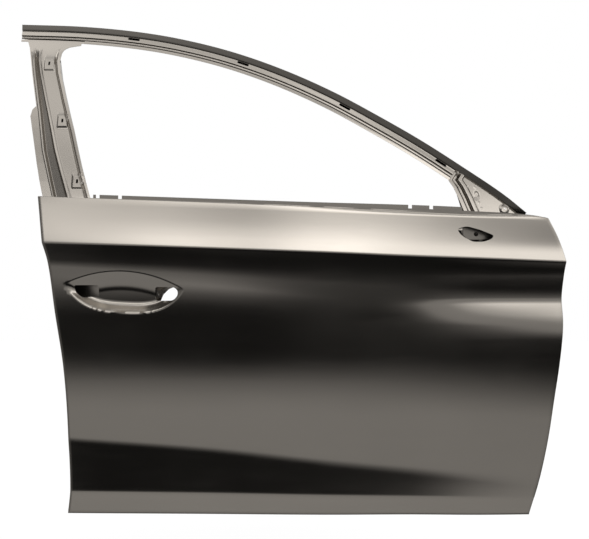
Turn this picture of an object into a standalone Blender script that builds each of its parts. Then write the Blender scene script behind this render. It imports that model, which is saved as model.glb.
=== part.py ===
# Front right-hand door shell of a compact hatchback: pressed steel sheets, hemmed and spot-welded,
# bare of hinges, lock, glass, handle, mirror and trim.
#
# Every piece is drawn in one datum frame: x runs forward and z up from the middle of the door's side
# view, and y runs inboard from the crease line of the outer skin. The pieces hang from one empty, which
# puts the centre of the upper hinge face at the world origin.

import math
from functools import lru_cache

import bmesh
import bpy
from mathutils import Matrix, Vector
from mathutils.geometry import delaunay_2d_cdt

# Sheet thicknesses and the clearances between sheets that lie on each other: flat ones, and curved ones
GAP = 0.0003
LAP_GAP = 0.0005
SKIN_SHEET = 0.0008
INNER_SHEET = 0.0010
FRAME_SHEET = 0.0012
REINFORCEMENT_SHEET = 0.0015
HINGE_PLATE = 0.0030
BRACKET_SHEET = 0.0020

# Outer skin: plan curvature and the three stations at which its feature lines are given
PLAN_RADIUS = 11.8
STATIONS = (-0.545, 0.0, 0.580)
HEM_RETURN = 0.009
BELT_TOP = ((-0.561, 0.160), (0.0, 0.140), (0.382, 0.1273), (0.530, 0.1167), (0.553, 0.1117))
BELT_LIP = ((-0.561, 0.001), (0.0, 0.003), (0.382, 0.008), (0.530, 0.003), (0.553, 0.001))
LIP_STEP = 0.002
LIP_BEND = 0.0015

# Feature lines of the skin from the belt down: height at the three stations, then the tilt of the skin
# there in degrees, positive where it faces up
BELT_TILT = (17.0, 9.0, 6.0)
SHOULDER = ((0.103, 0.082, 0.064), (14.0, 14.0, 10.0))
CREASE_HEIGHT = (0.059, 0.040, 0.017)
CREASE_TILT_ABOVE = (13.0, 17.0, 17.0)
CREASE_TILT_BELOW = (-14.0, -24.0, -22.0)
TUCK_END = ((0.025, 0.004, -0.025), (-4.0, -9.0, -12.0))
BULGE_TOP = ((0.008, -0.041, -0.084), (-3.0, -5.5, 12.0))
BULGE_END = ((-0.066, -0.098, -0.138), (-9.0, -8.5, -2.0))
WAIST = ((-0.165, -0.176, -0.180), (-8.0, -8.0, -5.5))
FLANK_TOP = ((-0.238, -0.240, -0.258), (-1.5, -1.5, -2.5))
FLANK_MIDDLE = ((-0.308, -0.318, -0.328), (3.0, 3.0, 2.0))
SCALLOP_TOP = ((-0.365, -0.406, -0.453), (3.0, 4.0, 4.0))
SCALLOP_FLOOR = ((-0.392, -0.441, -0.479), (-9.0, -6.0, 5.0))
SILL_LINE_HEIGHT = (-0.487, -0.491, -0.495)
SILL_TILT_ABOVE = (-6.0, -3.0, 6.0)
SILL_TILT_BELOW = (10.0, 10.0, 8.0)
BOTTOM_HEIGHT = (-0.5345, -0.5337, -0.5296)
CREASE_ROW = 2

# Side edges of the skin, each as height and distance forward
REAR_EDGE_UPPER = ((0.059, -0.547), (0.160, -0.561))
REAR_EDGE_LOWER = ((-0.535, -0.497), (-0.487, -0.494), (-0.376, -0.4955), (-0.209, -0.508),
                   (-0.104, -0.521), (0.020, -0.5365), (0.059, -0.547))
FRONT_EDGE_UPPER = ((0.017, 0.589), (0.044, 0.5825), (0.073, 0.572), (0.112, 0.553))
FRONT_EDGE_LOWER = ((-0.530, 0.508), (-0.465, 0.530), (-0.377, 0.5515), (-0.2765, 0.568),
                    (-0.2095, 0.577), (-0.116, 0.583), (-0.0605, 0.5825), (-0.032, 0.584), (0.017, 0.589))
SKIN_COLUMNS = 16
LONGEST_ROW_STEP = 0.0445
SLIVER = 0.00002
DRILL_SIDES = 14
CUT_OUTSIDE = 0.004
CUT_INSIDE = 0.008

# Handle bowl: its tips, how far it rises and drops from the line between them, and its walls
BOWL_REAR_TIP = (-0.4986, -0.0315)
BOWL_FRONT_TIP = (-0.2412, -0.0432)
BOWL_RISE = 0.0335
BOWL_DROP = 0.057
BOWL_WALL = 0.026
BOWL_DEPTH = 0.024
BOWL_COLUMNS = 20
BOWL_MARGIN = (0.010, 0.008)
HANDLE_HOLE_REAR = ((-0.480, -0.034), (-0.428, -0.034), (-0.428, -0.0595), (-0.464, -0.0605),
                    (-0.477, -0.049))
HANDLE_HOLE_FRONT = ((-0.304, -0.038), (-0.262, -0.038), (-0.253, -0.046), (-0.254, -0.058),
                     (-0.264, -0.0675), (-0.304, -0.0685))

# Hole in the skin for the mirror's arm and wires
MIRROR_HOLE = ((0.352, 0.088), (0.373, 0.0943), (0.403, 0.086), (0.433, 0.074), (0.427, 0.066),
               (0.410, 0.060), (0.385, 0.060), (0.361, 0.074))

# Inner panel: depth of its cabin face, and the lines of its two shut faces as height and distance
INNER_DEPTH = 0.100
HINGE_FACE_X = 0.555
LOWER_HINGE_FACE_X = 0.514
CHECK_FACE_X = 0.545
LOCK_FACE_X = -0.485
BEAM_FACE_X = -0.475
SILL_FACE_Z = -0.505
PANEL_TOP_DROP = 0.008
SHUT_FACE_MIDDLE = INNER_DEPTH - 0.020
UPPER_HINGE_CENTRE = (SHUT_FACE_MIDDLE, -0.064)
LOWER_HINGE_CENTRE = (SHUT_FACE_MIDDLE, -0.364)
CHECK_CENTRE = (SHUT_FACE_MIDDLE, -0.238)
HINGE_BOLT_SPREAD = 0.056
HINGE_BOLT_HOLE = 0.0055
HINGE_PAD = (0.056, 0.098)
HINGE_NUT_FLATS = 0.013
HINGE_NUT_HEIGHT = 0.008
HINGE_NUT_BORE = 0.0040
CHECK_BOLT_SPREAD = 0.040
CHECK_BOLT_HOLE = 0.0035
CHECK_SLOT = (0.018, 0.022)
CHECK_PAD = (0.056, 0.034)
CHECK_NUT_FLATS = 0.010
CHECK_NUT_HEIGHT = 0.005
CHECK_NUT_BORE = 0.0030
LOCK_CENTRE = (SHUT_FACE_MIDDLE - 0.002, -0.176)
LOCK_PAD = (0.058, 0.100)
LOCK_SLOT_CENTRE = (SHUT_FACE_MIDDLE + 0.007, -0.170)
LOCK_SLOT = (0.022, 0.024)
LOCK_SCREW_DEPTHS = (SHUT_FACE_MIDDLE - 0.018, SHUT_FACE_MIDDLE + 0.018)
LOCK_SCREWS = ((LOCK_SCREW_DEPTHS[0], -0.148), (LOCK_SCREW_DEPTHS[0], -0.204), (LOCK_SCREW_DEPTHS[1], -0.204))
LOCK_SCREW_HOLE = 0.0035
SERVICE_HOLE = (-0.305, 0.250, -0.400, -0.035)
SERVICE_HOLE_CORNER = 0.060
SPEAKER_CENTRE = (0.370, -0.330)
SPEAKER_RADIUS = 0.080
ACCESS_CENTRE = (-0.385, -0.300)
ACCESS_RADIUS = 0.022

# Window frame: how its outer face leans in above the belt, its outer edge and the section of its rail
FRAME_BASE = 0.050
FRAME_LEAN = 0.29
FRAME_CURVE = 0.252
FRAME_BOX = INNER_DEPTH - FRAME_BASE - INNER_SHEET - LAP_GAP
ROOF_EDGE = ((-0.646, 0.581), (-0.499, 0.574), (-0.365, 0.559), (-0.269, 0.541), (-0.148, 0.508),
             (-0.029, 0.463), (0.088, 0.407), (0.194, 0.346), (0.285, 0.290), (0.375, 0.229),
             (0.465, 0.165), (0.512, 0.125))
RAIL_STEP = 0.045
RAIL_PROFILE = ((0.0, 0.002), (0.013, 0.0), (0.0145, 0.007), (0.0255, 0.008), (0.027, 0.013),
                (0.032, 0.014), (0.034, 0.010), (0.041, 0.011))
RAIL_WIDTH = RAIL_PROFILE[-1][0]
RAIL_BOX = 0.035
RAIL_FLANGE_START = -0.500
RAIL_JOINT = 0.366
RAIL_SLOTS = (-0.373, -0.115, 0.122, 0.337)
SLOT_SIZE = (0.028, 0.0055)
SLOT_DISTANCE = 0.018

# Rear pillar: its two edges as height and distance forward, then its pressed bands. Each band line is a
# share of the width at the belt and at the top, with its depth behind the frame's face.
PILLAR_EDGE = ((0.155, -0.538), (0.268, -0.571), (0.359, -0.588), (0.458, -0.610), (0.523, -0.623),
               (0.544, -0.632))
WINDOW_REAR = ((0.155, -0.451), (0.226, -0.474), (0.315, -0.499), (0.383, -0.521), (0.457, -0.543),
               (0.486, -0.548))
WINDOW_CORNER = ((-0.545, 0.508), (-0.528, 0.522), (-0.502, 0.5265))
PILLAR_BANDS = ((0.0, 0.0, 0.006), (0.03, 0.04, 0.006), (0.055, 0.08, 0.0), (0.08, 0.14, 0.004),
                (0.12, 0.17, 0.010), (0.38, 0.25, 0.010), (0.44, 0.29, 0.0), (0.50, 0.34, 0.001),
                (0.53, 0.37, 0.005), (0.84, 0.82, 0.005), (0.88, 0.86, 0.010), (0.93, 0.90, 0.007),
                (1.0, 1.0, 0.007))
PILLAR_FOOT = 0.155
PILLAR_BAND_TOP = 0.490
PILLAR_FADE = 0.030
PILLAR_ROW_STEP = 0.040
PILLAR_LOWEST_ROW = 0.006
CORNER_PLATE_DEPTH = 0.005
CLIP_CENTRES = ((-0.571, 0.480), (-0.527, 0.338), (-0.483, 0.196))
CLIP_HALF = (0.0100, 0.014)
CLIP_RAISE = 0.004
CLIP_WALL = 0.0020
CLIP_HOLE_HALF = (0.0022, 0.0045)
PILLAR_REAR_FLANGE = PILLAR_BANDS[0][2] + FRAME_SHEET + INNER_SHEET + 3 * LAP_GAP
PILLAR_WINDOW_FLANGE = PILLAR_BANDS[-1][2] + FRAME_SHEET + LAP_GAP
PILLAR_INNER_BANDS = ((0.03, PILLAR_REAR_FLANGE), (0.06, PILLAR_REAR_FLANGE), (0.09, FRAME_BOX),
                      (0.50, FRAME_BOX), (0.90, FRAME_BOX), (0.93, PILLAR_WINDOW_FLANGE),
                      (0.99, PILLAR_WINDOW_FLANGE))
PILLAR_TENON_FOOT = 0.060
PILLAR_TONGUE_TOP = 0.552
GUSSET_EDGE = ((0.155, -0.5575), (0.213, -0.573), (0.292, -0.590), (0.350, -0.603), (0.366, -0.600),
               (0.374, -0.593))
GUSSET_LAP = 0.002

# Mirror triangle: the window's front edge as height and distance, its pressed bands and its dome
WINDOW_FRONT = ((0.060, 0.412), (0.100, 0.392), (0.132, 0.375), (0.175, 0.364), (0.210, 0.345))
SAIL_FOOT = ((0.485, 0.060), (0.497, 0.100))
SAIL_TIP = (0.498, 0.1235)
SAIL_FACE = 0.004
SAIL_BANDS = ((0.0, 0.012), (0.009, 0.012), (0.011, 0.019), (0.016, 0.019), (0.021, SAIL_FACE),
              (0.027, SAIL_FACE), (0.031, 0.008))
SAIL_ROW_STEP = 0.025
DOME_CENTRE = (0.465, 0.133)
DOME_RADIUS = 0.0115
DOME_RAISE = 0.004
DOME_HOLE = 0.0033
SAIL_HOLE = (0.388, 0.186)
SAIL_HOLE_HALF = (0.0025, 0.003)
MIRROR_BRACKET = (0.372, 0.450, 0.066, 0.112)
MIRROR_BRACKET_CORNER = 0.010
MIRROR_BRACKET_HOLE = ((0.4007, 0.0780), 0.005)

# Belt reinforcements: each row is a distance below the belt and a depth behind the skin or the panel
BELT_OUTER_SPAN = (-0.440, 0.365)
BELT_OUTER_ROWS = ((-0.008, 0.0), (0.009, 0.0), (0.012, 0.008), (0.031, 0.009), (0.034, 0.003), (0.043, 0.003))
BELT_NOTCHES = (-0.430, -0.381, 0.2515, 0.2975)
BELT_NOTCH_WIDTH = 0.008
BELT_INNER_SPAN = (-0.425, 0.350)
BELT_INNER_ROWS = ((0.010, 0.0), (0.022, 0.0), (0.027, 0.014), (0.055, 0.014), (0.060, 0.0), (0.072, 0.0))
BELT_COLUMNS = 14

# Side impact beam, its brackets and the mastic pads between it and the skin
BEAM_RADIUS = 0.015
BEAM_WALL = 0.002
BEAM_DEPTH = 0.068
BEAM_FRONT_Z = -0.150
BEAM_REAR_Z = -0.335
BEAM_END_CLEARANCE = 0.006
BEAM_BRACKET_HEIGHT = 0.046
BEAM_BRACKET_REACH = 0.070
BEAM_BRACKET_LIP = 0.030
PAD_STATIONS = (-0.300, -0.050, 0.250)
PAD_RADIUS = 0.016

# Handle bracket, window guides and damping patch
HANDLE_BRACKET = (-0.424, -0.309)
HANDLE_BRACKET_HEIGHTS = (-0.060, -0.042)
HANDLE_EYE = (-0.2955, -0.054)
HANDLE_EYE_RADIUS = 0.0078
HANDLE_EYE_HOLE = 0.0038
HANDLE_BRACKET_GAP = 0.0010
GUIDE_TOP_REAR = (-0.447, 0.145)
GUIDE_FOOT_REAR = (-0.330, -0.250)
GUIDE_TOP_FRONT = (0.372, 0.115)
GUIDE_FOOT_FRONT = (0.452, -0.140)
GLASS_PLANE = ((-0.250, 0.0885), (0.145, 0.0665))
GUIDE_WIDTH = 0.016
GUIDE_LEG = 0.013
GUIDE_SHEET = 0.0012
GUIDE_FOOT_START = 0.006
GUIDE_FOOT_HEIGHT = 0.024
GUIDE_FOOT_REACH = 0.018
PATCH_SPAN = (-0.010, 0.210)
PATCH_ROWS = (7.0, 9.0)
PATCH_THICKNESS = 0.002

COLLECTION = "door_shell"
E_COAT = ((0.030, 0.028, 0.026), 0.32, 0.0)
BARE_STEEL = ((0.45, 0.45, 0.44), 0.40, 1.0)
MASTIC = ((0.02, 0.02, 0.02), 0.90, 0.0)
DAMPING = ((0.05, 0.05, 0.05), 0.85, 0.0)


def straight(points, at):
    """Value at a place along points joined by straight lines, which run on past both ends."""
    for (a, value_a), (b, value_b) in zip(points, points[1:]):
        if at <= b or b == points[-1][0]:
            return value_a + (value_b - value_a) * (at - a) / (b - a)


def smooth(points, at):
    """Value at a place along a smooth curve through points, straight past both ends."""
    slopes = [(q[1] - p[1]) / (q[0] - p[0]) for p, q in zip(points, points[1:])]
    if at <= points[0][0]:
        return points[0][1] + slopes[0] * (at - points[0][0])
    if at >= points[-1][0]:
        return points[-1][1] + slopes[-1] * (at - points[-1][0])
    tangents = [slopes[0]] + [(a + b) / 2 for a, b in zip(slopes, slopes[1:])] + [slopes[-1]]
    for i, ((a, value_a), (b, value_b)) in enumerate(zip(points, points[1:])):
        if at <= b:
            span = b - a
            t = (at - a) / span
            return ((2 * t**3 - 3 * t**2 + 1) * value_a + (t**3 - 2 * t**2 + t) * span * tangents[i]
                    + (3 * t**2 - 2 * t**3) * value_b + (t**3 - t**2) * span * tangents[i + 1])


def spaced(start, end, count):
    return [start + (end - start) * i / count for i in range(count + 1)]


def path_through(points, step):
    """Points about one step apart on a smooth curve through the given points."""
    lengths = [0.0]
    for p, q in zip(points, points[1:]):
        lengths.append(lengths[-1] + math.dist(p, q))
    count = max(2, round(lengths[-1] / step))
    xs = list(zip(lengths, [p[0] for p in points]))
    zs = list(zip(lengths, [p[1] for p in points]))
    return [(smooth(xs, s), smooth(zs, s)) for s in spaced(0.0, lengths[-1], count)]


def offset_path(points, distance):
    """The path moved sideways, to its right as it runs."""
    moved = []
    for i, p in enumerate(points):
        before = points[max(i - 1, 0)]
        after = points[min(i + 1, len(points) - 1)]
        along = Vector((after[0] - before[0], after[1] - before[1])).normalized()
        moved.append((p[0] + along.y * distance, p[1] - along.x * distance))
    return moved


def contains(polygon, x, z):
    inside = False
    for (x0, z0), (x1, z1) in zip(polygon, polygon[1:] + polygon[:1]):
        if (z0 > z) != (z1 > z) and x < x0 + (z - z0) * (x1 - x0) / (z1 - z0):
            inside = not inside
    return inside


def rectangle(centre, half):
    return [(centre[0] + a * half[0], centre[1] + b * half[1]) for a, b in ((-1, -1), (1, -1), (1, 1), (-1, 1))]


def circle(centre, radius, count=16):
    angles = [2 * math.pi * i / count for i in range(count)]
    return [(centre[0] + radius * math.cos(a), centre[1] + radius * math.sin(a)) for a in angles]


def rounded_rectangle(x0, x1, z0, z1, radius, count=5):
    points = []
    corners = ((x1 - radius, z1 - radius, 0), (x0 + radius, z1 - radius, 1),
               (x0 + radius, z0 + radius, 2), (x1 - radius, z0 + radius, 3))
    for x, z, quarter in corners:
        for a in spaced(quarter * math.pi / 2, (quarter + 1) * math.pi / 2, count):
            points.append((x + radius * math.cos(a), z + radius * math.sin(a)))
    return points


def section_lines():
    """Height and tilt of each feature line, from the belt line down to the bottom edge."""
    lines = [SHOULDER, (CREASE_HEIGHT, CREASE_TILT_ABOVE), (CREASE_HEIGHT, CREASE_TILT_BELOW), TUCK_END,
             BULGE_TOP, BULGE_END, WAIST, FLANK_TOP, FLANK_MIDDLE, SCALLOP_TOP, SCALLOP_FLOOR,
             (SILL_LINE_HEIGHT, SILL_TILT_ABOVE), (SILL_LINE_HEIGHT, SILL_TILT_BELOW),
             (BOTTOM_HEIGHT, SILL_TILT_BELOW)]
    return [(tuple(zip(STATIONS, heights)), tuple(zip(STATIONS, tilts))) for heights, tilts in lines]


SECTION = section_lines()


def bow(x):
    return x * x / (2 * PLAN_RADIUS)


def belt_top(x):
    return smooth(BELT_TOP, x)


def belt_line(x):
    return belt_top(x) - smooth(BELT_LIP, x)


@lru_cache(maxsize=None)
def section_at(x):
    """Height and slope of the skin at each feature line, at one distance forward."""
    belt = (belt_line(x), math.tan(math.radians(smooth(tuple(zip(STATIONS, BELT_TILT)), x))))
    lines = [(smooth(heights, x), math.tan(math.radians(smooth(tilts, x)))) for heights, tilts in SECTION]
    return [belt] + lines


def skin_depth(x, z):
    """Depth of the skin's outer face behind the crease plane, without the handle bowl."""
    rows = section_at(x)
    depth = bow(x)
    if z >= rows[CREASE_ROW][0]:
        pairs = [(rows[i], rows[i - 1]) for i in range(CREASE_ROW, 0, -1)]
    else:
        pairs = list(zip(rows[CREASE_ROW + 1:], rows[CREASE_ROW + 2:]))
    for (z0, slope0), (z1, slope1) in pairs:
        if z1 == z0:
            continue
        share = (z - z0) / (z1 - z0)
        if share <= 1.0:
            return depth + (slope0 + slope0 + (slope1 - slope0) * share) / 2 * (z - z0)
        depth += (slope0 + slope1) / 2 * (z1 - z0)
    if z > rows[0][0]:
        return depth + LIP_STEP * min((z - rows[0][0]) / LIP_BEND, 1.0)
    return depth + rows[-1][1] * (z - rows[-1][0])


def bowl_share(x):
    """Place between the bowl's tips, from -1 to 1, and the height of the line between them."""
    middle = (BOWL_REAR_TIP[0] + BOWL_FRONT_TIP[0]) / 2
    half = (BOWL_FRONT_TIP[0] - BOWL_REAR_TIP[0]) / 2
    return (x - middle) / half, straight((BOWL_REAR_TIP, BOWL_FRONT_TIP), x)


def bowl_limits(x):
    """Lowest and highest point of the bowl's rim at one distance forward."""
    share, chord = bowl_share(x)
    share = min(abs(share), 1.0)
    return chord - BOWL_DROP * (1 - share**3) ** 0.85, chord + BOWL_RISE * (1 - share**2) ** 0.95


def bowl_wall(distance):
    """Share of the bowl's depth at a distance from its rim."""
    t = min(max(distance / BOWL_WALL, 0.0), 1.0)
    return 1 - (1 - t) ** 1.7


def bowl_depth(x, z):
    low, high = bowl_limits(x)
    if not low < z < high:
        return 0.0
    return BOWL_DEPTH * bowl_wall(high - z) * bowl_wall(z - low)


def dressed_depth(x, z):
    """Depth of the skin's outer face with the handle bowl."""
    return skin_depth(x, z) + bowl_depth(x, z)


def frame_depth(x, z):
    """Depth of the window frame's outer face, which leans in above the belt."""
    height = max(z - belt_top(x), 0.0)
    return FRAME_BASE + bow(x) + FRAME_LEAN * height + FRAME_CURVE * height * height


def inner_depth(x, _z=0.0):
    """Depth of the side of the inner panel's face that looks into the door."""
    return INNER_DEPTH + bow(x)


def edge_x(front, z, above):
    if front:
        return smooth(FRONT_EDGE_UPPER if above else FRONT_EDGE_LOWER, z)
    return smooth(REAR_EDGE_UPPER if above else REAR_EDGE_LOWER, z)


def rear_wall_x(z):
    """Cavity side of the rear shut face."""
    line = ((SILL_FACE_Z, BEAM_FACE_X + 0.006), (-0.400, BEAM_FACE_X), (-0.270, BEAM_FACE_X),
            (-0.240, LOCK_FACE_X), (-0.118, LOCK_FACE_X), (-0.090, LOCK_FACE_X - 0.021),
            (0.160, LOCK_FACE_X - 0.049))
    return straight(line, z) + INNER_SHEET


def front_wall_x(z):
    """Cavity side of the front shut face."""
    line = ((SILL_FACE_Z, LOWER_HINGE_FACE_X - 0.026), (-0.465, LOWER_HINGE_FACE_X),
            (-0.292, LOWER_HINGE_FACE_X), (-0.265, CHECK_FACE_X), (-0.205, CHECK_FACE_X),
            (-0.182, HINGE_FACE_X), (0.022, HINGE_FACE_X), (0.112, HINGE_FACE_X - 0.027))
    return straight(line, z) - INNER_SHEET


def grid_rows():
    """Rows of the skin's grid as a section line and a share of the way down to the next line."""
    rows = []
    middle = section_at(STATIONS[1])
    for line, ((z0, _), (z1, _)) in enumerate(zip(middle, middle[1:])):
        if z0 - z1 > 1e-6:
            steps = math.ceil((z0 - z1) / LONGEST_ROW_STEP)
            rows += [(line, i / steps) for i in range(steps)]
    return rows + [(len(middle) - 1, 0.0)]


GRID_ROWS = grid_rows()


def row_z(row, x):
    line, share = row
    section = section_at(x)
    if share == 0.0:
        return section[line][0]
    return section[line][0] * (1 - share) + section[line + 1][0] * share


def border(rear_x, front_x, lift=0.0, drop=0.0):
    """Points down the rear side, along the bottom and up the front side of a panel."""
    def side(x_of, row, start):
        above = row[0] < CREASE_ROW
        x = start
        for _ in range(6):
            z = row_z(row, x)
            if row == GRID_ROWS[0]:
                z -= drop
            if row == GRID_ROWS[-1]:
                z += lift
            x = x_of(z, above)
        return x, z

    rear = [side(rear_x, row, STATIONS[0]) for row in GRID_ROWS]
    front = [side(front_x, row, STATIONS[-1]) for row in GRID_ROWS]
    xs = spaced(rear[-1][0], front[-1][0], SKIN_COLUMNS)
    bottom = [(x, row_z(GRID_ROWS[-1], x) + lift) for x in xs[1:-1]]
    return rear, bottom, front[::-1]


def skin_border(inset):
    """The skin's edge moved in by one distance, as three runs of points."""
    return border(lambda z, above: edge_x(False, z, above) + inset,
                  lambda z, above: edge_x(True, z, above) - inset, inset)


def runs_clockwise(loop):
    return sum(p[0] * q[1] - q[0] * p[1] for p, q in zip(loop, loop[1:] + loop[:1])) < 0


def pressing(outline, depth, holes=(), lines=(), points=()):
    """Corners and faces of a sheet seen square on: an outline with holes, bend lines and each point's depth."""
    flat = []
    loops = []
    for loop in [list(outline), *map(list, holes)]:
        loops.append(list(range(len(flat), len(flat) + len(loop))))
        flat += loop[::-1] if runs_clockwise(loop) else loop
    edges = []
    for line in lines:
        edges += [(len(flat) + i, len(flat) + i + 1) for i in range(len(line) - 1)]
        flat += line
    flat += points
    corners, _, faces, _, _, origins = delaunay_2d_cdt([Vector(p) for p in flat], edges, loops, 1, 1e-7)
    kept = [face for face, origin in zip(faces, origins) if origin == [0]]
    return [(corner.x, depth(corner.x, corner.y), corner.y) for corner in corners], kept


def band(first, second):
    """Corners and faces of the strip between two rows of points."""
    count = len(first)
    return list(first) + list(second), [(i, i + 1, count + i + 1, count + i) for i in range(count - 1)]


def lattice(rows, leave_out=lambda i, j: False):
    """Corners and faces of a sheet from rows of points, all of one length."""
    width = len(rows[0])
    faces = []
    for i in range(len(rows) - 1):
        for j in range(width - 1):
            if not leave_out(i, j):
                faces.append((i * width + j, i * width + j + 1, (i + 1) * width + j + 1, (i + 1) * width + j))
    return [p for row in rows for p in row], faces


def clear_file():
    for obj in list(bpy.data.objects):
        bpy.data.objects.remove(obj, do_unlink=True)


def new_collection(name):
    collection = bpy.data.collections.new(name)
    bpy.context.scene.collection.children.link(collection)
    return collection


def new_material(name, look):
    colour, roughness, metallic = look
    material = bpy.data.materials.new(name)
    material.use_nodes = True
    shader = material.node_tree.nodes["Principled BSDF"]
    shader.inputs["Base Color"].default_value = (*colour, 1.0)
    shader.inputs["Roughness"].default_value = roughness
    shader.inputs["Metallic"].default_value = metallic
    return material


def new_object(name, bm, look, smooth_faces=False):
    """An object hung from the datum, from a bmesh drawn in the datum frame."""
    mesh = bpy.data.meshes.new(name)
    bm.to_mesh(mesh)
    bm.free()
    obj = bpy.data.objects.new(name, mesh)
    obj.parent = datum
    parts.objects.link(obj)
    obj.data.materials.append(new_material(name + "_finish", look))
    if smooth_faces:
        mesh.shade_smooth()
        mesh.set_sharp_from_angle(angle=math.radians(35))
    return obj


def sheet(name, surfaces, thickness, look=E_COAT):
    """A pressed sheet from one or more open surfaces that share edges: its face looks outboard and its
    thickness goes in behind it."""
    bm = bmesh.new()
    for corners, faces in surfaces:
        made = [bm.verts.new(p) for p in corners]
        for face in faces:
            bm.faces.new([made[i] for i in face])
    bmesh.ops.remove_doubles(bm, verts=bm.verts, dist=1e-6)
    bmesh.ops.dissolve_degenerate(bm, edges=bm.edges, dist=SLIVER)
    loose = [v for v in bm.verts if not v.link_faces]
    bmesh.ops.delete(bm, geom=loose, context="VERTS")
    bmesh.ops.recalc_face_normals(bm, faces=bm.faces)
    if sum(face.normal.y * face.calc_area() for face in bm.faces) > 0:
        bmesh.ops.reverse_faces(bm, faces=bm.faces)
    obj = new_object(name, bm, look, True)
    solidify = obj.modifiers.new("sheet", "SOLIDIFY")
    solidify.thickness = thickness
    solidify.offset = -1.0
    solidify.use_even_offset = True
    return obj


def prism(name, outline, low, high, axis, look=E_COAT):
    """A flat outline drawn out along an axis. It gives the two other coordinates in their order."""
    def place(p, along):
        if axis == "X":
            return along, p[0], p[1]
        if axis == "Y":
            return p[0], along, p[1]
        return p[0], p[1], along

    bm = bmesh.new()
    face = bm.faces.new([bm.verts.new(place(p, low)) for p in outline])
    grown = bmesh.ops.extrude_face_region(bm, geom=[face])
    moved = [v for v in grown["geom"] if isinstance(v, bmesh.types.BMVert)]
    bmesh.ops.translate(bm, verts=moved, vec=Vector(place((0.0, 0.0), high)) - Vector(place((0.0, 0.0), low)))
    bmesh.ops.recalc_face_normals(bm, faces=bm.faces)
    return new_object(name, bm, look)


def cut(obj, tool):
    """Takes the cutter's shape out of a piece."""
    difference = obj.modifiers.new("cut_" + tool.name, "BOOLEAN")
    difference.operation = "DIFFERENCE"
    difference.object = tool


def cutter(obj):
    parts.objects.unlink(obj)
    cutters.objects.link(obj)
    obj.hide_render = True
    obj.display_type = "WIRE"
    return obj


def drill(name, axis, centre, radius, low, high):
    return cutter(prism(name, circle(centre, radius, DRILL_SIDES), low, high, axis))


def slot_cutter(name, axis, centre, size, low, high):
    return cutter(prism(name, rectangle(centre, (size[0] / 2, size[1] / 2)), low, high, axis))


def weld_nut(name, face_x, towards, centre, flats, height, bore):
    """A hexagonal nut that sits on the cavity side of a shut face's reinforcement."""
    start = face_x + towards * GAP
    end = start + towards * height
    nut = prism(name, circle(centre, flats / math.sqrt(3), 6), start, end, "X", BARE_STEEL)
    cut(nut, drill(name + "_bore", "X", centre, bore, start - towards * 0.002, end + towards * 0.002))
    return nut


def build_skin():
    rear, bottom, front = skin_border(0.0)
    lip_xs = spaced(front[-1][0], rear[0][0], SKIN_COLUMNS)
    lip = [(x, belt_top(x)) for x in lip_xs]
    outline = rear + bottom + front + lip

    bowl_xs = spaced(BOWL_REAR_TIP[0], BOWL_FRONT_TIP[0], BOWL_COLUMNS)
    rim = [(x, bowl_limits(x)[0]) for x in bowl_xs] + [(x, bowl_limits(x)[1]) for x in bowl_xs[-2:0:-1]]
    rim_margin = [(x, z + BOWL_MARGIN[1] * (1 if i > BOWL_COLUMNS else -1)) for i, (x, z) in enumerate(rim)]
    rim_margin[0] = (rim[0][0] - BOWL_MARGIN[0], rim[0][1])
    rim_margin[BOWL_COLUMNS] = (rim[BOWL_COLUMNS][0] + BOWL_MARGIN[0], rim[BOWL_COLUMNS][1])
    bowl_points = []
    for x in bowl_xs[1:-1]:
        low, high = bowl_limits(x)
        for share in (0.3, 0.65, 1.0):
            for z in (low + BOWL_WALL * share, high - BOWL_WALL * share):
                if low + 0.002 < z < high - 0.002 and abs(z - (low + high) / 2) > 0.001:
                    bowl_points.append((x, z))
    holes = [list(HANDLE_HOLE_REAR), list(HANDLE_HOLE_FRONT), list(MIRROR_HOLE)]
    hole_middle = [sum(p[i] for p in MIRROR_HOLE) / len(MIRROR_HOLE) for i in range(2)]
    hole_margin = [(hole_middle[0] + (x - hole_middle[0]) * 1.3, hole_middle[1] + (z - hole_middle[1]) * 1.5)
                   for x, z in MIRROR_HOLE]
    bowl_points = [p for p in bowl_points if not any(contains(hole, *p) for hole in holes)]

    lines = []
    for number, row in enumerate(GRID_ROWS[:-1]):
        ends = rear[number], front[len(GRID_ROWS) - 1 - number]
        run = [ends[0]]
        for x in spaced(ends[0][0], ends[1][0], SKIN_COLUMNS)[1:]:
            point = (x, row_z(row, x)) if x < ends[1][0] else ends[1]
            if contains(rim_margin, *point) or contains(hole_margin, *point):
                lines.append(run)
                run = []
            elif run and contains(rim_margin, (run[-1][0] + x) / 2, row_z(row, (run[-1][0] + x) / 2)):
                lines.append(run)
                run = [point]
            else:
                run.append(point)
        lines.append(run)
    body = pressing(outline, dressed_depth, holes, [run for run in lines if len(run) > 1] + [rim + rim[:1]],
                    [run[0] for run in lines if len(run) == 1] + bowl_points)

    fold = 2 * SKIN_SHEET + INNER_SHEET + 2 * LAP_GAP + GAP
    edge = rear + bottom + front
    turned_rear, turned_bottom, turned_front = skin_border(HEM_RETURN)
    turned = turned_rear + turned_bottom + turned_front
    at_edge = [(x, skin_depth(x, z), z) for x, z in edge]
    wrapped = [(x, y + fold, z) for x, y, z in at_edge]
    returned = [(x, skin_depth(x, z) + fold, z) for x, z in turned]
    return sheet("outer_skin", [body, band(at_edge, wrapped), band(wrapped, returned)], SKIN_SHEET)


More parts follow.
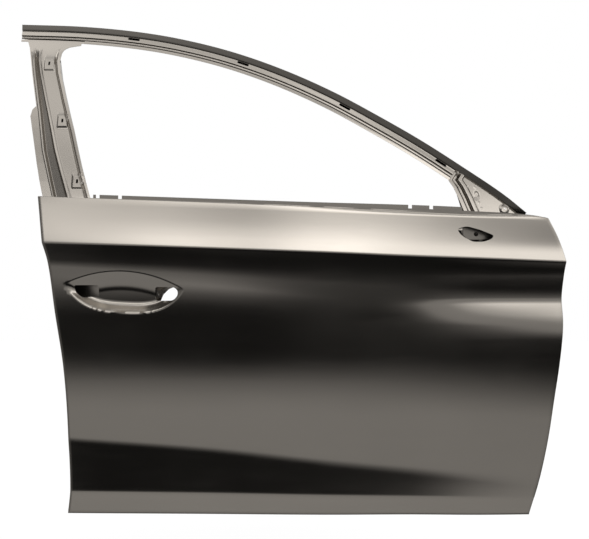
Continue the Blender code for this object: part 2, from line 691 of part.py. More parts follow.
def build_inner_panel():
    clearance = SKIN_SHEET + 2 * GAP
    outer_runs = border(lambda z, above: edge_x(False, z, above) + clearance,
                        lambda z, above: edge_x(True, z, above) - clearance, clearance, PANEL_TOP_DROP)
    wall_lift = SILL_FACE_Z - BOTTOM_HEIGHT[1]
    wall_runs = border(lambda z, _: rear_wall_x(z), lambda z, _: front_wall_x(z), wall_lift, PANEL_TOP_DROP)
    outer = [p for run in outer_runs for p in run]
    wall = [p for run in wall_runs for p in run]
    behind = SKIN_SHEET + LAP_GAP
    flange_edge = [(x, skin_depth(x, z) + behind, z) for x, z in outer]
    wall_foot = [(x, skin_depth(x, z) + behind, z) for x, z in wall]
    wall_top = [(x, inner_depth(x), z) for x, z in wall]
    top_xs = spaced(wall[-1][0], wall[0][0], SKIN_COLUMNS)[1:-1]
    outline = wall + [(x, belt_line(x) - PANEL_TOP_DROP) for x in top_xs]
    holes = [rounded_rectangle(*SERVICE_HOLE, SERVICE_HOLE_CORNER), circle(SPEAKER_CENTRE, SPEAKER_RADIUS, 24),
             circle(ACCESS_CENTRE, ACCESS_RADIUS, 12)]
    grid = []
    for x in spaced(STATIONS[0], STATIONS[-1], SKIN_COLUMNS)[1:-1]:
        for z in spaced(SILL_FACE_Z, BELT_TOP[-1][1], 8)[1:-1]:
            if contains(outline, x, z) and not any(contains(hole, x, z) for hole in holes):
                grid.append((x, z))
    face = pressing(outline, inner_depth, holes, (), grid)
    return sheet("inner_panel", [band(flange_edge, wall_foot), band(wall_foot, wall_top), face], INNER_SHEET)


def build_rail_outer(edge):
    runs = [offset_path(edge, distance) for distance, _ in RAIL_PROFILE]
    rows = [[(run[i][0], frame_depth(*run[i]) + depth, run[i][1]) for run, (_, depth) in zip(runs, RAIL_PROFILE)]
            for i in range(len(edge))]

    def leave_out(i, j):
        past_joint = edge[i + 1][0] > RAIL_JOINT and j >= 1
        before_flange = edge[i][0] < RAIL_FLANGE_START and j >= 6
        return past_joint or before_flange

    rail = sheet("roof_rail_outer", [lattice(rows, leave_out)], FRAME_SHEET)
    for number, x in enumerate(RAIL_SLOTS, 1):
        near = min(range(len(edge) - 1), key=lambda i: abs(edge[i][0] - x))
        along = Vector((edge[near + 1][0] - edge[near][0], 0.0, edge[near + 1][1] - edge[near][1])).normalized()
        z = straight(edge, x)
        shape = rectangle((0.0, 0.0), (SLOT_SIZE[0] / 2, SLOT_SIZE[1] / 2))
        tool = prism(f"rail_slot_{number}", shape, -CUT_INSIDE, CUT_INSIDE, "Y")
        across = Vector((along.z, 0.0, -along.x))
        centre = Vector((x, 0.0, z)) + across * SLOT_DISTANCE
        depth = frame_depth(centre.x, centre.z) + straight(RAIL_PROFILE, SLOT_DISTANCE)
        inboard = Vector((0.0, 1.0, 0.0))
        turn = Matrix((along, inboard, along.cross(inboard))).transposed().to_4x4()
        tool.data.transform(Matrix.Translation((centre.x, depth, centre.z)) @ turn)
        cut(rail, cutter(tool))
    return rail


def build_rail_inner(edge):
    face = RAIL_PROFILE[0][1] + FRAME_SHEET + GAP
    lap = RAIL_PROFILE[-1][1] + FRAME_SHEET + LAP_GAP
    profile = ((0.003, face), (0.009, face), (0.011, RAIL_BOX), (0.0335, RAIL_BOX), (0.0355, lap), (0.0405, lap))
    used = [p for p in edge if p[0] < RAIL_JOINT + RAIL_STEP / 2]
    runs = [offset_path(edge, distance)[:len(used)] for distance, _ in profile]
    rows = [[(run[i][0], frame_depth(*run[i]) + depth, run[i][1]) for run, (_, depth) in zip(runs, profile)]
            for i in range(len(used))]
    return sheet("roof_rail_inner", [lattice(rows)], INNER_SHEET)


def pillar_x(share, z):
    rear = straight(PILLAR_EDGE, z)
    return rear + (straight(WINDOW_REAR, z) - rear) * share


def band_share(line, z):
    """Share of the pillar's width at which a band line lies at one height."""
    rise = min(max((z - PILLAR_FOOT) / (PILLAR_BAND_TOP - PILLAR_FOOT), 0.0), 1.0)
    return line[0] + (line[1] - line[0]) * rise


def clip_raise(x, z):
    for cx, cz in CLIP_CENTRES:
        out = max(abs(x - cx) - CLIP_HALF[0], abs(z - cz) - CLIP_HALF[1])
        if out < CLIP_WALL:
            return CLIP_RAISE * min(1 - out / CLIP_WALL, 1.0)
    return 0.0


def pillar_depth(x, z):
    lines = [(pillar_x(band_share(line, z), z), line[2]) for line in PILLAR_BANDS]
    pressed = straight(lines, min(max(x, lines[0][0]), lines[-1][0]))
    fade = min(max((z - PILLAR_BAND_TOP) / PILLAR_FADE, 0.0), 1.0)
    depth = pressed + (CORNER_PLATE_DEPTH - pressed) * fade
    return frame_depth(x, z) + depth - clip_raise(x, z)


def pillar_steps():
    """Heights above the belt at which the pillar's sheets have their rows."""
    steps = spaced(PILLAR_FOOT, PILLAR_BAND_TOP, round((PILLAR_BAND_TOP - PILLAR_FOOT) / PILLAR_ROW_STEP))
    return [PILLAR_FOOT + PILLAR_LOWEST_ROW] + steps[1:]


def build_pillar_outer(edge):
    under_rail = offset_path(edge, RAIL_WIDTH + 2 * GAP)
    lower = [p for p in under_rail if PILLAR_EDGE[-1][1] < p[0] < RAIL_FLANGE_START]
    steps = [PILLAR_FOOT] + pillar_steps()
    rear_side = [(pillar_x(0.0, z), z) for z in steps] + list((x, z) for z, x in PILLAR_EDGE[-2:])
    window_side = [(pillar_x(1.0, z), z) for z in steps]
    foot = [(pillar_x(line[0], PILLAR_FOOT), PILLAR_FOOT) for line in PILLAR_BANDS[1:-1]]
    outline = rear_side + lower + list(WINDOW_CORNER)[::-1] + window_side[::-1] + foot[::-1]

    pads = [rectangle(centre, (CLIP_HALF[0] + grow, CLIP_HALF[1] + grow))
            for centre in CLIP_CENTRES for grow in (0.0, CLIP_WALL)]
    holes = [rectangle(centre, CLIP_HOLE_HALF) for centre in CLIP_CENTRES]
    lines = []
    for line in PILLAR_BANDS[1:-1]:
        run = []
        for z in steps + [PILLAR_BAND_TOP + PILLAR_FADE]:
            point = (pillar_x(band_share(line, z), z), z)
            if contains(outline, *point) or z == PILLAR_FOOT:
                run.append(point)
        clear = []
        for point in run:
            if any(contains(pad, *point) for pad in pads[1::2]):
                if len(clear) > 1:
                    lines.append(clear)
                clear = []
            else:
                clear.append(point)
        if len(clear) > 1:
            lines.append(clear)
    pad_lines = [pad + pad[:1] for pad in pads]
    return sheet("b_pillar_outer", [pressing(outline, pillar_depth, holes, lines + pad_lines)], FRAME_SHEET)


def build_pillar_inner():
    tenon = [PILLAR_TENON_FOOT, (PILLAR_TENON_FOOT + PILLAR_FOOT) / 2, PILLAR_FOOT - PILLAR_LOWEST_ROW]
    steps = pillar_steps()
    tongue = [PILLAR_BAND_TOP + PILLAR_FADE, PILLAR_TONGUE_TOP]
    rows = []
    for z in tenon + steps + tongue:
        row = []
        for share, depth in PILLAR_INNER_BANDS:
            x = pillar_x(share, max(z, PILLAR_FOOT))
            if z < PILLAR_FOOT:
                x += (PILLAR_FOOT - z) * 0.25
            if z in tongue:
                depth = RAIL_BOX + INNER_SHEET + LAP_GAP
            row.append((x, frame_depth(x, z) + depth, z))
        rows.append(row)

    def leave_out(i, j):
        full = len(tenon) <= i < len(tenon) + len(steps) - 1
        return not full and not 2 <= j <= 3

    return sheet("b_pillar_inner", [lattice(rows, leave_out)], INNER_SHEET)


def build_gusset():
    """Plate behind the pillar's rear edge that carries the seal below the belt corner."""
    def point(x, z):
        return x, frame_depth(x, z) + PILLAR_BANDS[0][2] + FRAME_SHEET + LAP_GAP, z

    heights = [z for z in pillar_steps() if z < GUSSET_EDGE[-2][0]] + [z for z, _ in GUSSET_EDGE[-3:]]
    rows = [[point(straight(GUSSET_EDGE, z), z), point(pillar_x(0.0, z) + GUSSET_LAP, z)]
            for z in sorted(heights)]
    return sheet("b_pillar_gusset", [lattice(rows)], INNER_SHEET)


def sail_upper(edge):
    """The triangle's upper edge, just under the rail's outer flange."""
    under = offset_path(edge, RAIL_PROFILE[1][0] + 3 * GAP)
    return [p for p in under if RAIL_JOINT + 0.012 < p[0] < SAIL_TIP[0]]


def sail_depth(x, z):
    across = x - straight(WINDOW_FRONT, z)
    pressed = straight(SAIL_BANDS, min(max(across, 0.0), SAIL_BANDS[-1][0]))
    dome = max(0.0, 1.0 - max(math.dist((x, z), DOME_CENTRE) - 0.6 * DOME_RADIUS, 0.0) / (0.4 * DOME_RADIUS))
    return frame_depth(x, z) + pressed - DOME_RAISE * dome


def sail_outline(edge, inset):
    window = [(x + inset, z) for z, x in WINDOW_FRONT[:-1]]
    upper = [(x - inset * 0.5, z - inset) for x, z in sail_upper(edge)]
    tip = (SAIL_TIP[0] - inset * 1.5, SAIL_TIP[1] - inset)
    foot = [(x - inset, z) for x, z in SAIL_FOOT]
    start = (RAIL_JOINT + 0.004 + inset, straight(edge, RAIL_JOINT) - RAIL_PROFILE[1][0] - 0.008 - inset)
    return window + [start] + upper + [tip] + foot[::-1]


def build_sail():
    outline = sail_outline(ROOF_PATH, 0.0)
    lines = []
    heights = spaced(WINDOW_FRONT[0][0], WINDOW_FRONT[-1][0], round(0.150 / SAIL_ROW_STEP))
    for across, _ in SAIL_BANDS[1:]:
        run = [(straight(WINDOW_FRONT, z) + across, z) for z in heights]
        run = [run[0]] + [p for p in run[1:] if contains(outline, *p)]
        if len(run) > 1:
            lines.append(run)
    rings = [circle(DOME_CENTRE, DOME_RADIUS * share, 14) for share in (0.6, 1.0)]
    holes = [circle(DOME_CENTRE, DOME_HOLE, 8), rectangle(SAIL_HOLE, SAIL_HOLE_HALF)]
    feet = [run[0] for run in lines]
    body = pressing(outline + feet[::-1], sail_depth, holes, lines + [ring + ring[:1] for ring in rings])
    return sheet("mirror_sail_outer", [body], FRAME_SHEET)


def build_sail_inner():
    outline = sail_outline(ROOF_PATH, 0.002)

    def depth(x, z):
        return frame_depth(x, z) + FRAME_BOX

    belt = [(x, belt_top(x)) for x in spaced(MIRROR_BRACKET[0] + 0.012, SAIL_TIP[0] - 0.006, 4)]
    surface = pressing(outline, depth, [circle(DOME_CENTRE, 2 * DOME_HOLE, 10)], [belt])
    return sheet("mirror_sail_inner", [surface], INNER_SHEET)


def build_mirror_bracket():
    """Plate on the sail's outer side that carries the mirror's foot."""
    x0, x1, z0, z1 = MIRROR_BRACKET
    corner = MIRROR_BRACKET_CORNER
    outline = [(x0 + corner, z0), (x1, z0), (x1, z1 - 2 * corner), (x1 - 2 * corner, z1), (x0, z1),
               (x0, z0 + corner)]

    def depth(x, _z):
        return FRAME_BASE + bow(x) + SAIL_FACE - GAP - BRACKET_SHEET

    hole = circle(MIRROR_BRACKET_HOLE[0], MIRROR_BRACKET_HOLE[1], 12)
    return sheet("mirror_bracket", [pressing(outline, depth, [hole])], BRACKET_SHEET)


def belt_lattice(span, rows, depth):
    return lattice([[(x, depth(x, drop, offset), belt_top(x) - drop) for x in spaced(*span, BELT_COLUMNS)]
                    for drop, offset in rows])


def build_belt_outer():
    behind = SKIN_SHEET + LAP_GAP

    def depth(x, drop, offset):
        height = belt_top(x) - max(drop, 0.0) if offset else belt_top(x)
        return skin_depth(x, height) + behind + offset

    surface = belt_lattice(BELT_OUTER_SPAN, BELT_OUTER_ROWS, depth)
    rail = sheet("belt_reinforcement_outer", [surface], REINFORCEMENT_SHEET)
    for number, x in enumerate(BELT_NOTCHES, 1):
        centre = (x, belt_top(x) - BELT_OUTER_ROWS[0][0])
        size = (BELT_NOTCH_WIDTH, 2 * BELT_NOTCH_WIDTH)
        cut(rail, slot_cutter(f"belt_notch_{number}", "Y", centre, size, 0.0, INNER_DEPTH))
    return rail


def build_belt_inner():
    def depth(x, _drop, offset):
        return inner_depth(x) - LAP_GAP - REINFORCEMENT_SHEET - offset

    surface = belt_lattice(BELT_INNER_SPAN, BELT_INNER_ROWS, depth)
    return sheet("belt_reinforcement_inner", [surface], REINFORCEMENT_SHEET)


def beam_end(wall_x, towards, z):
    return Vector((wall_x + towards * BEAM_END_CLEARANCE, BEAM_DEPTH, z))


def beam_centre(x):
    rear = beam_end(rear_wall_x(BEAM_REAR_Z), 1, BEAM_REAR_Z)
    front = beam_end(front_wall_x(BEAM_FRONT_Z), -1, BEAM_FRONT_Z)
    return rear.lerp(front, (x - rear.x) / (front.x - rear.x))


def build_beam():
    rear = beam_end(rear_wall_x(BEAM_REAR_Z), 1, BEAM_REAR_Z)
    along = beam_end(front_wall_x(BEAM_FRONT_Z), -1, BEAM_FRONT_Z) - rear
    turn = Matrix.Translation(rear) @ Matrix.Rotation(-math.atan2(along.z, along.x), 4, "Y")
    beam = prism("impact_beam", circle((0.0, 0.0), BEAM_RADIUS, 20), 0.0, along.length, "X")
    bore = drill("impact_beam_bore", "X", (0.0, 0.0), BEAM_RADIUS - BEAM_WALL, -0.01, along.length + 0.01)
    for obj in (beam, bore):
        obj.data.transform(turn)
    cut(beam, bore)
    return beam


def build_beam_bracket(name, wall_x, towards):
    """An angle behind the tube's end whose short leg lies on the shut face."""
    back = BEAM_DEPTH + BEAM_RADIUS + GAP
    wall = wall_x + towards * GAP
    inside = wall + towards * BRACKET_SHEET
    far = wall + towards * BEAM_BRACKET_REACH
    outline = [(wall, back + BRACKET_SHEET), (wall, back - BEAM_BRACKET_LIP), (inside, back - BEAM_BRACKET_LIP),
               (inside, back), (far, back), (far, back + BRACKET_SHEET)]
    middle = beam_centre(wall + towards * BEAM_BRACKET_REACH / 2).z
    return prism(name, outline, middle - BEAM_BRACKET_HEIGHT / 2, middle + BEAM_BRACKET_HEIGHT / 2, "Z")


def plate(name, wall_x, towards, centre, size, thickness):
    """A flat plate on the cavity side of a shut face."""
    start = wall_x + towards * GAP
    return prism(name, rectangle(centre, (size[0] / 2, size[1] / 2)), start, start + towards * thickness, "X")


def build_hinge_mount(panel, level, face_x, centre):
    wall = face_x - INNER_SHEET
    reinforcement = plate("hinge_reinforcement_" + level, wall, -1, centre, HINGE_PAD, HINGE_PLATE)
    for place, side in (("top", 1), ("bottom", -1)):
        bolt = (centre[0], centre[1] + side * HINGE_BOLT_SPREAD / 2)
        hole = drill(f"hinge_hole_{level}_{place}", "X", bolt, HINGE_BOLT_HOLE, wall - CUT_INSIDE,
                     face_x + CUT_OUTSIDE)
        cut(panel, hole)
        cut(reinforcement, hole)
        weld_nut(f"hinge_nut_{level}_{place}", wall - GAP - HINGE_PLATE, -1, bolt, HINGE_NUT_FLATS,
                 HINGE_NUT_HEIGHT, HINGE_NUT_BORE)


def build_check_mount(panel):
    wall = CHECK_FACE_X - INNER_SHEET
    reinforcement = plate("check_strap_reinforcement", wall, -1, CHECK_CENTRE, CHECK_PAD, REINFORCEMENT_SHEET)
    inside = wall - CUT_INSIDE
    outside = CHECK_FACE_X + CUT_OUTSIDE
    slot = slot_cutter("check_slot", "X", CHECK_CENTRE, CHECK_SLOT, inside, outside)
    cut(panel, slot)
    cut(reinforcement, slot)
    for place, side in (("outboard", -1), ("inboard", 1)):
        bolt = (CHECK_CENTRE[0] + side * CHECK_BOLT_SPREAD / 2, CHECK_CENTRE[1])
        hole = drill("check_hole_" + place, "X", bolt, CHECK_BOLT_HOLE, inside, outside)
        cut(panel, hole)
        cut(reinforcement, hole)
        weld_nut("check_nut_" + place, wall - GAP - REINFORCEMENT_SHEET, -1, bolt, CHECK_NUT_FLATS,
                 CHECK_NUT_HEIGHT, CHECK_NUT_BORE)


def build_lock_mount(panel):
    wall = LOCK_FACE_X + INNER_SHEET
    reinforcement = plate("lock_reinforcement", wall, 1, LOCK_CENTRE, LOCK_PAD, REINFORCEMENT_SHEET)
    outside = LOCK_FACE_X - CUT_OUTSIDE
    inside = wall + CUT_INSIDE
    slot = slot_cutter("lock_slot", "X", LOCK_SLOT_CENTRE, LOCK_SLOT, outside, inside)
    cut(panel, slot)
    cut(reinforcement, slot)
    for number, screw in enumerate(LOCK_SCREWS, 1):
        hole = drill(f"lock_hole_{number}", "X", screw, LOCK_SCREW_HOLE, outside, inside)
        cut(panel, hole)
        cut(reinforcement, hole)


def build_handle_bracket():
    """Strap behind the bowl's floor that ends in the handle's screw eye."""
    x0, x1 = HANDLE_BRACKET
    z0, z1 = HANDLE_BRACKET_HEIGHTS
    eye = circle(HANDLE_EYE, HANDLE_EYE_RADIUS, 16)
    round_part = [p for p in eye if p[0] > HANDLE_EYE[0] - HANDLE_EYE_RADIUS * 0.4]
    round_part.sort(key=lambda p: math.atan2(p[1] - HANDLE_EYE[1], p[0] - HANDLE_EYE[0]))
    outline = [(x, z0) for x in spaced(x0, x1, 6)] + round_part + [(x, z1) for x in spaced(x1, x0, 6)]

    def depth(x, z):
        return dressed_depth(x, z) + SKIN_SHEET + HANDLE_BRACKET_GAP

    surface = pressing(outline, depth, [circle(HANDLE_EYE, HANDLE_EYE_HOLE, 10)])
    return sheet("handle_bracket", [surface], BRACKET_SHEET)


def sloping(name, outline, foot, top, low, high):
    """An outline in x and y drawn up along the line from foot to top, between two heights."""
    lean = (top[0] - foot[0]) / (top[1] - foot[1])
    obj = prism(name, outline, low, high, "Z")
    slope = Matrix.Identity(4)
    slope[0][2] = lean
    slope[0][3] = foot[0] - lean * foot[1]
    obj.data.transform(slope)
    return obj


def follow_glass(obj, fixed_from=math.inf):
    """Leans a piece drawn on the plane y = 0 into the glass's plane, but not what lies inboard of one depth."""
    for vertex in obj.data.vertices:
        if vertex.co.y < fixed_from:
            vertex.co.y += straight(GLASS_PLANE, vertex.co.z)


def build_guide(side, foot, top, towards):
    """Channel that the glass edge slides in, and the angle that holds its foot to the inner panel."""
    half = GUIDE_WIDTH / 2
    leg = towards * GUIDE_LEG
    wall = towards * GUIDE_SHEET
    channel = [(0.0, -half), (leg, -half), (leg, GUIDE_SHEET - half), (wall, GUIDE_SHEET - half),
               (wall, half - GUIDE_SHEET), (leg, half - GUIDE_SHEET), (leg, half), (0.0, half)]
    follow_glass(sloping("glass_guide_" + side, channel, foot, top, foot[1], top[1]))
    near = -towards * GAP
    far = near - towards * GUIDE_FOOT_REACH
    face = min(inner_depth(foot[0] + near), inner_depth(foot[0] + far)) - LAP_GAP
    angle = [(near, -half), (near, face), (far, face), (far, face - GUIDE_SHEET),
             (near - wall, face - GUIDE_SHEET), (near - wall, -half)]
    start = foot[1] + GUIDE_FOOT_START
    follow_glass(sloping(f"glass_guide_{side}_foot", angle, foot, top, start, start + GUIDE_FOOT_HEIGHT), half)


def build_pad(number, x):
    """Plug of mastic between the skin and the beam."""
    centre = beam_centre(x)
    rim = circle((centre.x, centre.z), PAD_RADIUS, 12)
    face = centre.y - BEAM_RADIUS - LAP_GAP
    pad = prism(f"mastic_pad_{number}", rim, 0.0, face, "Y", MASTIC)
    for vertex in pad.data.vertices:
        if vertex.co.y < face / 2:
            vertex.co.y = skin_depth(vertex.co.x, vertex.co.z) + SKIN_SHEET + LAP_GAP
    return pad


def build_damping_patch():
    rows = [row for row in GRID_ROWS if PATCH_ROWS[0] <= row[0] + row[1] <= PATCH_ROWS[1]]
    behind = SKIN_SHEET + LAP_GAP
    surface = lattice([[(x, skin_depth(x, row_z(row, x)) + behind, row_z(row, x))
                        for x in spaced(*PATCH_SPAN, 4)] for row in rows])
    return sheet("damping_patch", [surface], PATCH_THICKNESS, DAMPING)


def main():
    build_skin()
    panel = build_inner_panel()
    build_rail_outer(ROOF_PATH)
    build_rail_inner(ROOF_PATH)
    build_pillar_outer(ROOF_PATH)
    build_pillar_inner()
    build_gusset()
    build_sail()
    build_sail_inner()
    build_mirror_bracket()
    build_belt_outer()
    build_belt_inner()
    build_beam()
    build_beam_bracket("impact_beam_bracket_front", front_wall_x(BEAM_FRONT_Z), -1)
    build_beam_bracket("impact_beam_bracket_rear", rear_wall_x(BEAM_REAR_Z), 1)
    build_hinge_mount(panel, "upper", HINGE_FACE_X, UPPER_HINGE_CENTRE)
    build_hinge_mount(panel, "lower", LOWER_HINGE_FACE_X, LOWER_HINGE_CENTRE)
    build_check_mount(panel)
    build_lock_mount(panel)
    build_handle_bracket()
    build_guide("rear", GUIDE_FOOT_REAR, GUIDE_TOP_REAR, 1)
    build_guide("front", GUIDE_FOOT_FRONT, GUIDE_TOP_FRONT, -1)
    for number, x in enumerate(PAD_STATIONS, 1):
        build_pad(number, x)
    build_damping_patch()


clear_file()
parts = new_collection(COLLECTION)
cutters = new_collection(COLLECTION + "_cutters")
datum = bpy.data.objects.new("upper_hinge_datum", None)
datum.location = (-HINGE_FACE_X, -UPPER_HINGE_CENTRE[0], -UPPER_HINGE_CENTRE[1])
parts.objects.link(datum)
ROOF_PATH = path_through(ROOF_EDGE, RAIL_STEP)
main()
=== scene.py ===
import math
import bmesh
import bpy
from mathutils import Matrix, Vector


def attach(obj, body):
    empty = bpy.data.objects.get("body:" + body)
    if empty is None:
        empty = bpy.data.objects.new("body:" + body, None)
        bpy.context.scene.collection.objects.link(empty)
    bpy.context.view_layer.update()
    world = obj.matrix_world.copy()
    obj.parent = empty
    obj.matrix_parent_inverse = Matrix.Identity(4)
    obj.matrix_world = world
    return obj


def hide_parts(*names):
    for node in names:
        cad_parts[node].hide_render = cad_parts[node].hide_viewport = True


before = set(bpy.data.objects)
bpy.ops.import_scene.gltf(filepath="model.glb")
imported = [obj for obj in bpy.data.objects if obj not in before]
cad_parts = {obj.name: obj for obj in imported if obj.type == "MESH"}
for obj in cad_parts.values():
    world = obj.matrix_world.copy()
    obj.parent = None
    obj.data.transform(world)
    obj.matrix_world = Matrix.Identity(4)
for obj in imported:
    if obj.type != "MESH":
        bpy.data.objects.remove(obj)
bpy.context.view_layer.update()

print("stage 1: frame loaded")

# The door is drawn in its own datum: x forward, z up, y inboard from the crease of the outer skin
datum = Vector((-0.555, -0.080, 0.064))


# Curves
def straight(points, at):
    for (a, va), (b, vb) in zip(points, points[1:]):
        if at <= b or b == points[-1][0]:
            return va + (vb - va) * (at - a) / (b - a)


def smooth(points, at):
    slopes = [(q[1] - p[1]) / (q[0] - p[0]) for p, q in zip(points, points[1:])]
    if at <= points[0][0]:
        return points[0][1] + slopes[0] * (at - points[0][0])
    if at >= points[-1][0]:
        return points[-1][1] + slopes[-1] * (at - points[-1][0])
    tangents = [slopes[0]] + [(a + b) / 2 for a, b in zip(slopes, slopes[1:])] + [slopes[-1]]
    for i, ((a, va), (b, vb)) in enumerate(zip(points, points[1:])):
        if at <= b:
            w = b - a
            t = (at - a) / w
            return ((2 * t**3 - 3 * t**2 + 1) * va + (t**3 - 2 * t**2 + t) * w * tangents[i]
                    + (3 * t**2 - 2 * t**3) * vb + (t**3 - t**2) * w * tangents[i + 1])


def spaced(start, end, count):
    return [start + (end - start) * i / count for i in range(count + 1)]


def clamp(value, low=0.0, high=1.0):
    return min(max(value, low), high)


def ease(t):
    t = clamp(t)
    return t * t * (3 - 2 * t)


def pathThrough(points, step):
    lengths = [0.0]
    for p, q in zip(points, points[1:]):
        lengths.append(lengths[-1] + math.dist(p, q))
    xs = list(zip(lengths, [p[0] for p in points]))
    zs = list(zip(lengths, [p[1] for p in points]))
    return [(smooth(xs, s), smooth(zs, s)) for s in spaced(0.0, lengths[-1], round(lengths[-1] / step))]


def offsetPath(points, distance):
    moved = []
    for i, p in enumerate(points):
        before = points[max(i - 1, 0)]
        after = points[min(i + 1, len(points) - 1)]
        along = Vector((after[0] - before[0], after[1] - before[1])).normalized()
        moved.append((p[0] + along.y * distance, p[1] - along.x * distance))
    return moved


def roundedLine(points, radius, steps=4):
    # a polyline with each corner replaced by a short curve, then its long runs divided
    result = [Vector(points[0])]
    points = [Vector(p) for p in points]
    for a, b, c in zip(points, points[1:], points[2:]):
        back = min(radius, (b - a).length * 0.45)
        ahead = min(radius, (c - b).length * 0.45)
        p = b + (a - b).normalized() * back
        q = b + (c - b).normalized() * ahead
        for t in spaced(0.0, 1.0, steps):
            result.append(p * (1 - t) ** 2 + b * 2 * t * (1 - t) + q * t * t)
    result.append(points[-1])
    return result


def divided(points, longest):
    result = [points[0]]
    for a, b in zip(points, points[1:]):
        count = max(1, math.ceil((b - a).length / longest))
        result += [a.lerp(b, t) for t in spaced(0.0, 1.0, count)[1:]]
    return result


# Mesh tools
def deselectAll():
    for obj in bpy.context.selected_objects:
        obj.select_set(False)


def activate(obj):
    deselectAll()
    obj.select_set(True)
    bpy.context.view_layer.objects.active = obj


def applyAll(obj):
    activate(obj)
    for modifier in list(obj.modifiers):
        bpy.ops.object.modifier_apply(modifier=modifier.name)


def pressedGrid(name, columns, rows, locate, keep=None):
    # a grid primitive whose points are carried to the pressed surface; keep drops what lies off the sheet
    deselectAll()
    bpy.ops.mesh.primitive_grid_add(x_subdivisions=columns, y_subdivisions=rows, size=2)
    obj = bpy.context.object
    obj.name = obj.data.name = name
    indices = []
    for vertex in obj.data.vertices:
        i = round((vertex.co.x + 1) / 2 * columns)
        j = round((1 - vertex.co.y) / 2 * rows)
        indices.append((i, j))
        vertex.co = Vector(locate(i, j)) + datum
    bm = bmesh.new()
    bm.from_mesh(obj.data)
    if keep:
        doomed = []
        for face in bm.faces:
            i = min(indices[v.index][0] for v in face.verts)
            j = min(indices[v.index][1] for v in face.verts)
            if not keep(i, j):
                doomed.append(face)
        bmesh.ops.delete(bm, geom=doomed, context="FACES")
    bmesh.ops.remove_doubles(bm, verts=bm.verts, dist=1e-5)
    bmesh.ops.dissolve_degenerate(bm, edges=bm.edges, dist=1e-5)
    if sum(face.normal.y * face.calc_area() for face in bm.faces) > 0:
        bmesh.ops.reverse_faces(bm, faces=bm.faces)
    bm.to_mesh(obj.data)
    bm.free()
    return obj


def thicken(obj, thickness):
    solidify = obj.modifiers.new("sheet", "SOLIDIFY")
    solidify.thickness = thickness
    solidify.offset = -1.0
    solidify.use_quality_normals = True
    applyAll(obj)
    return obj


def finishSmooth(obj, angle):
    activate(obj)
    bpy.ops.object.shade_smooth_by_angle(angle=math.radians(angle))
    return obj


def roundedOutline(points, radius):
    # a closed outline with rounded corners, in x and z
    closed = [Vector(p) for p in points]
    result = []
    for a, b, c in zip(closed[-1:] + closed[:-1], closed, closed[1:] + closed[:1]):
        back = min(radius, (b - a).length * 0.45)
        ahead = min(radius, (c - b).length * 0.45)
        p = b + (a - b).normalized() * back
        q = b + (c - b).normalized() * ahead
        for t in spaced(0.0, 1.0, 5):
            result.append(tuple(p * (1 - t) ** 2 + b * 2 * t * (1 - t) + q * t * t))
    return result


def ring(centre, radius, count=28):
    return [(centre[0] + radius * math.cos(2 * math.pi * i / count),
             centre[1] + radius * math.sin(2 * math.pi * i / count)) for i in range(count)]


def box(centre, half):
    # a rectangle's four corners, from its centre and half sizes
    signs = ((-1, -1), (1, -1), (1, 1), (-1, 1))
    return [(centre[0] + half[0] * u, centre[1] + half[1] * v) for u, v in signs]


def punch(name, outline, low, high, axis="y"):
    # a straight cutter through the sheet: a flat disc, moved to the outline and extruded in edit mode
    deselectAll()
    bpy.ops.mesh.primitive_circle_add(vertices=len(outline), fill_type="NGON")
    obj = bpy.context.object
    obj.name = obj.data.name = name
    for vertex, (a, b) in zip(obj.data.vertices, outline):
        vertex.co = Vector((low, a, b) if axis == "x" else (a, low, b)) + datum
    through = (high - low, 0.0, 0.0) if axis == "x" else (0.0, high - low, 0.0)
    bpy.ops.object.mode_set(mode="EDIT")
    bpy.ops.mesh.select_all(action="SELECT")
    bpy.ops.mesh.extrude_region_move(TRANSFORM_OT_translate={"value": through})
    bpy.ops.mesh.select_all(action="SELECT")
    bpy.ops.mesh.normals_make_consistent(inside=False)
    bpy.ops.object.mode_set(mode="OBJECT")
    return obj


def punchOut(obj, tools):
    # the cutters of one sheet lie apart, so they are joined and cut it together
    deselectAll()
    for tool in tools:
        tool.select_set(True)
    bpy.context.view_layer.objects.active = tools[0]
    bpy.ops.object.join()
    cut = obj.modifiers.new("cut", "BOOLEAN")
    cut.operation = "DIFFERENCE"
    cut.solver = "EXACT"
    cut.object = tools[0]
    applyAll(obj)
    bpy.data.objects.remove(tools[0], do_unlink=True)
    return obj


def place(obj, *nodes, slot="e_coat"):
    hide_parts(*nodes)
    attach(obj, "root")


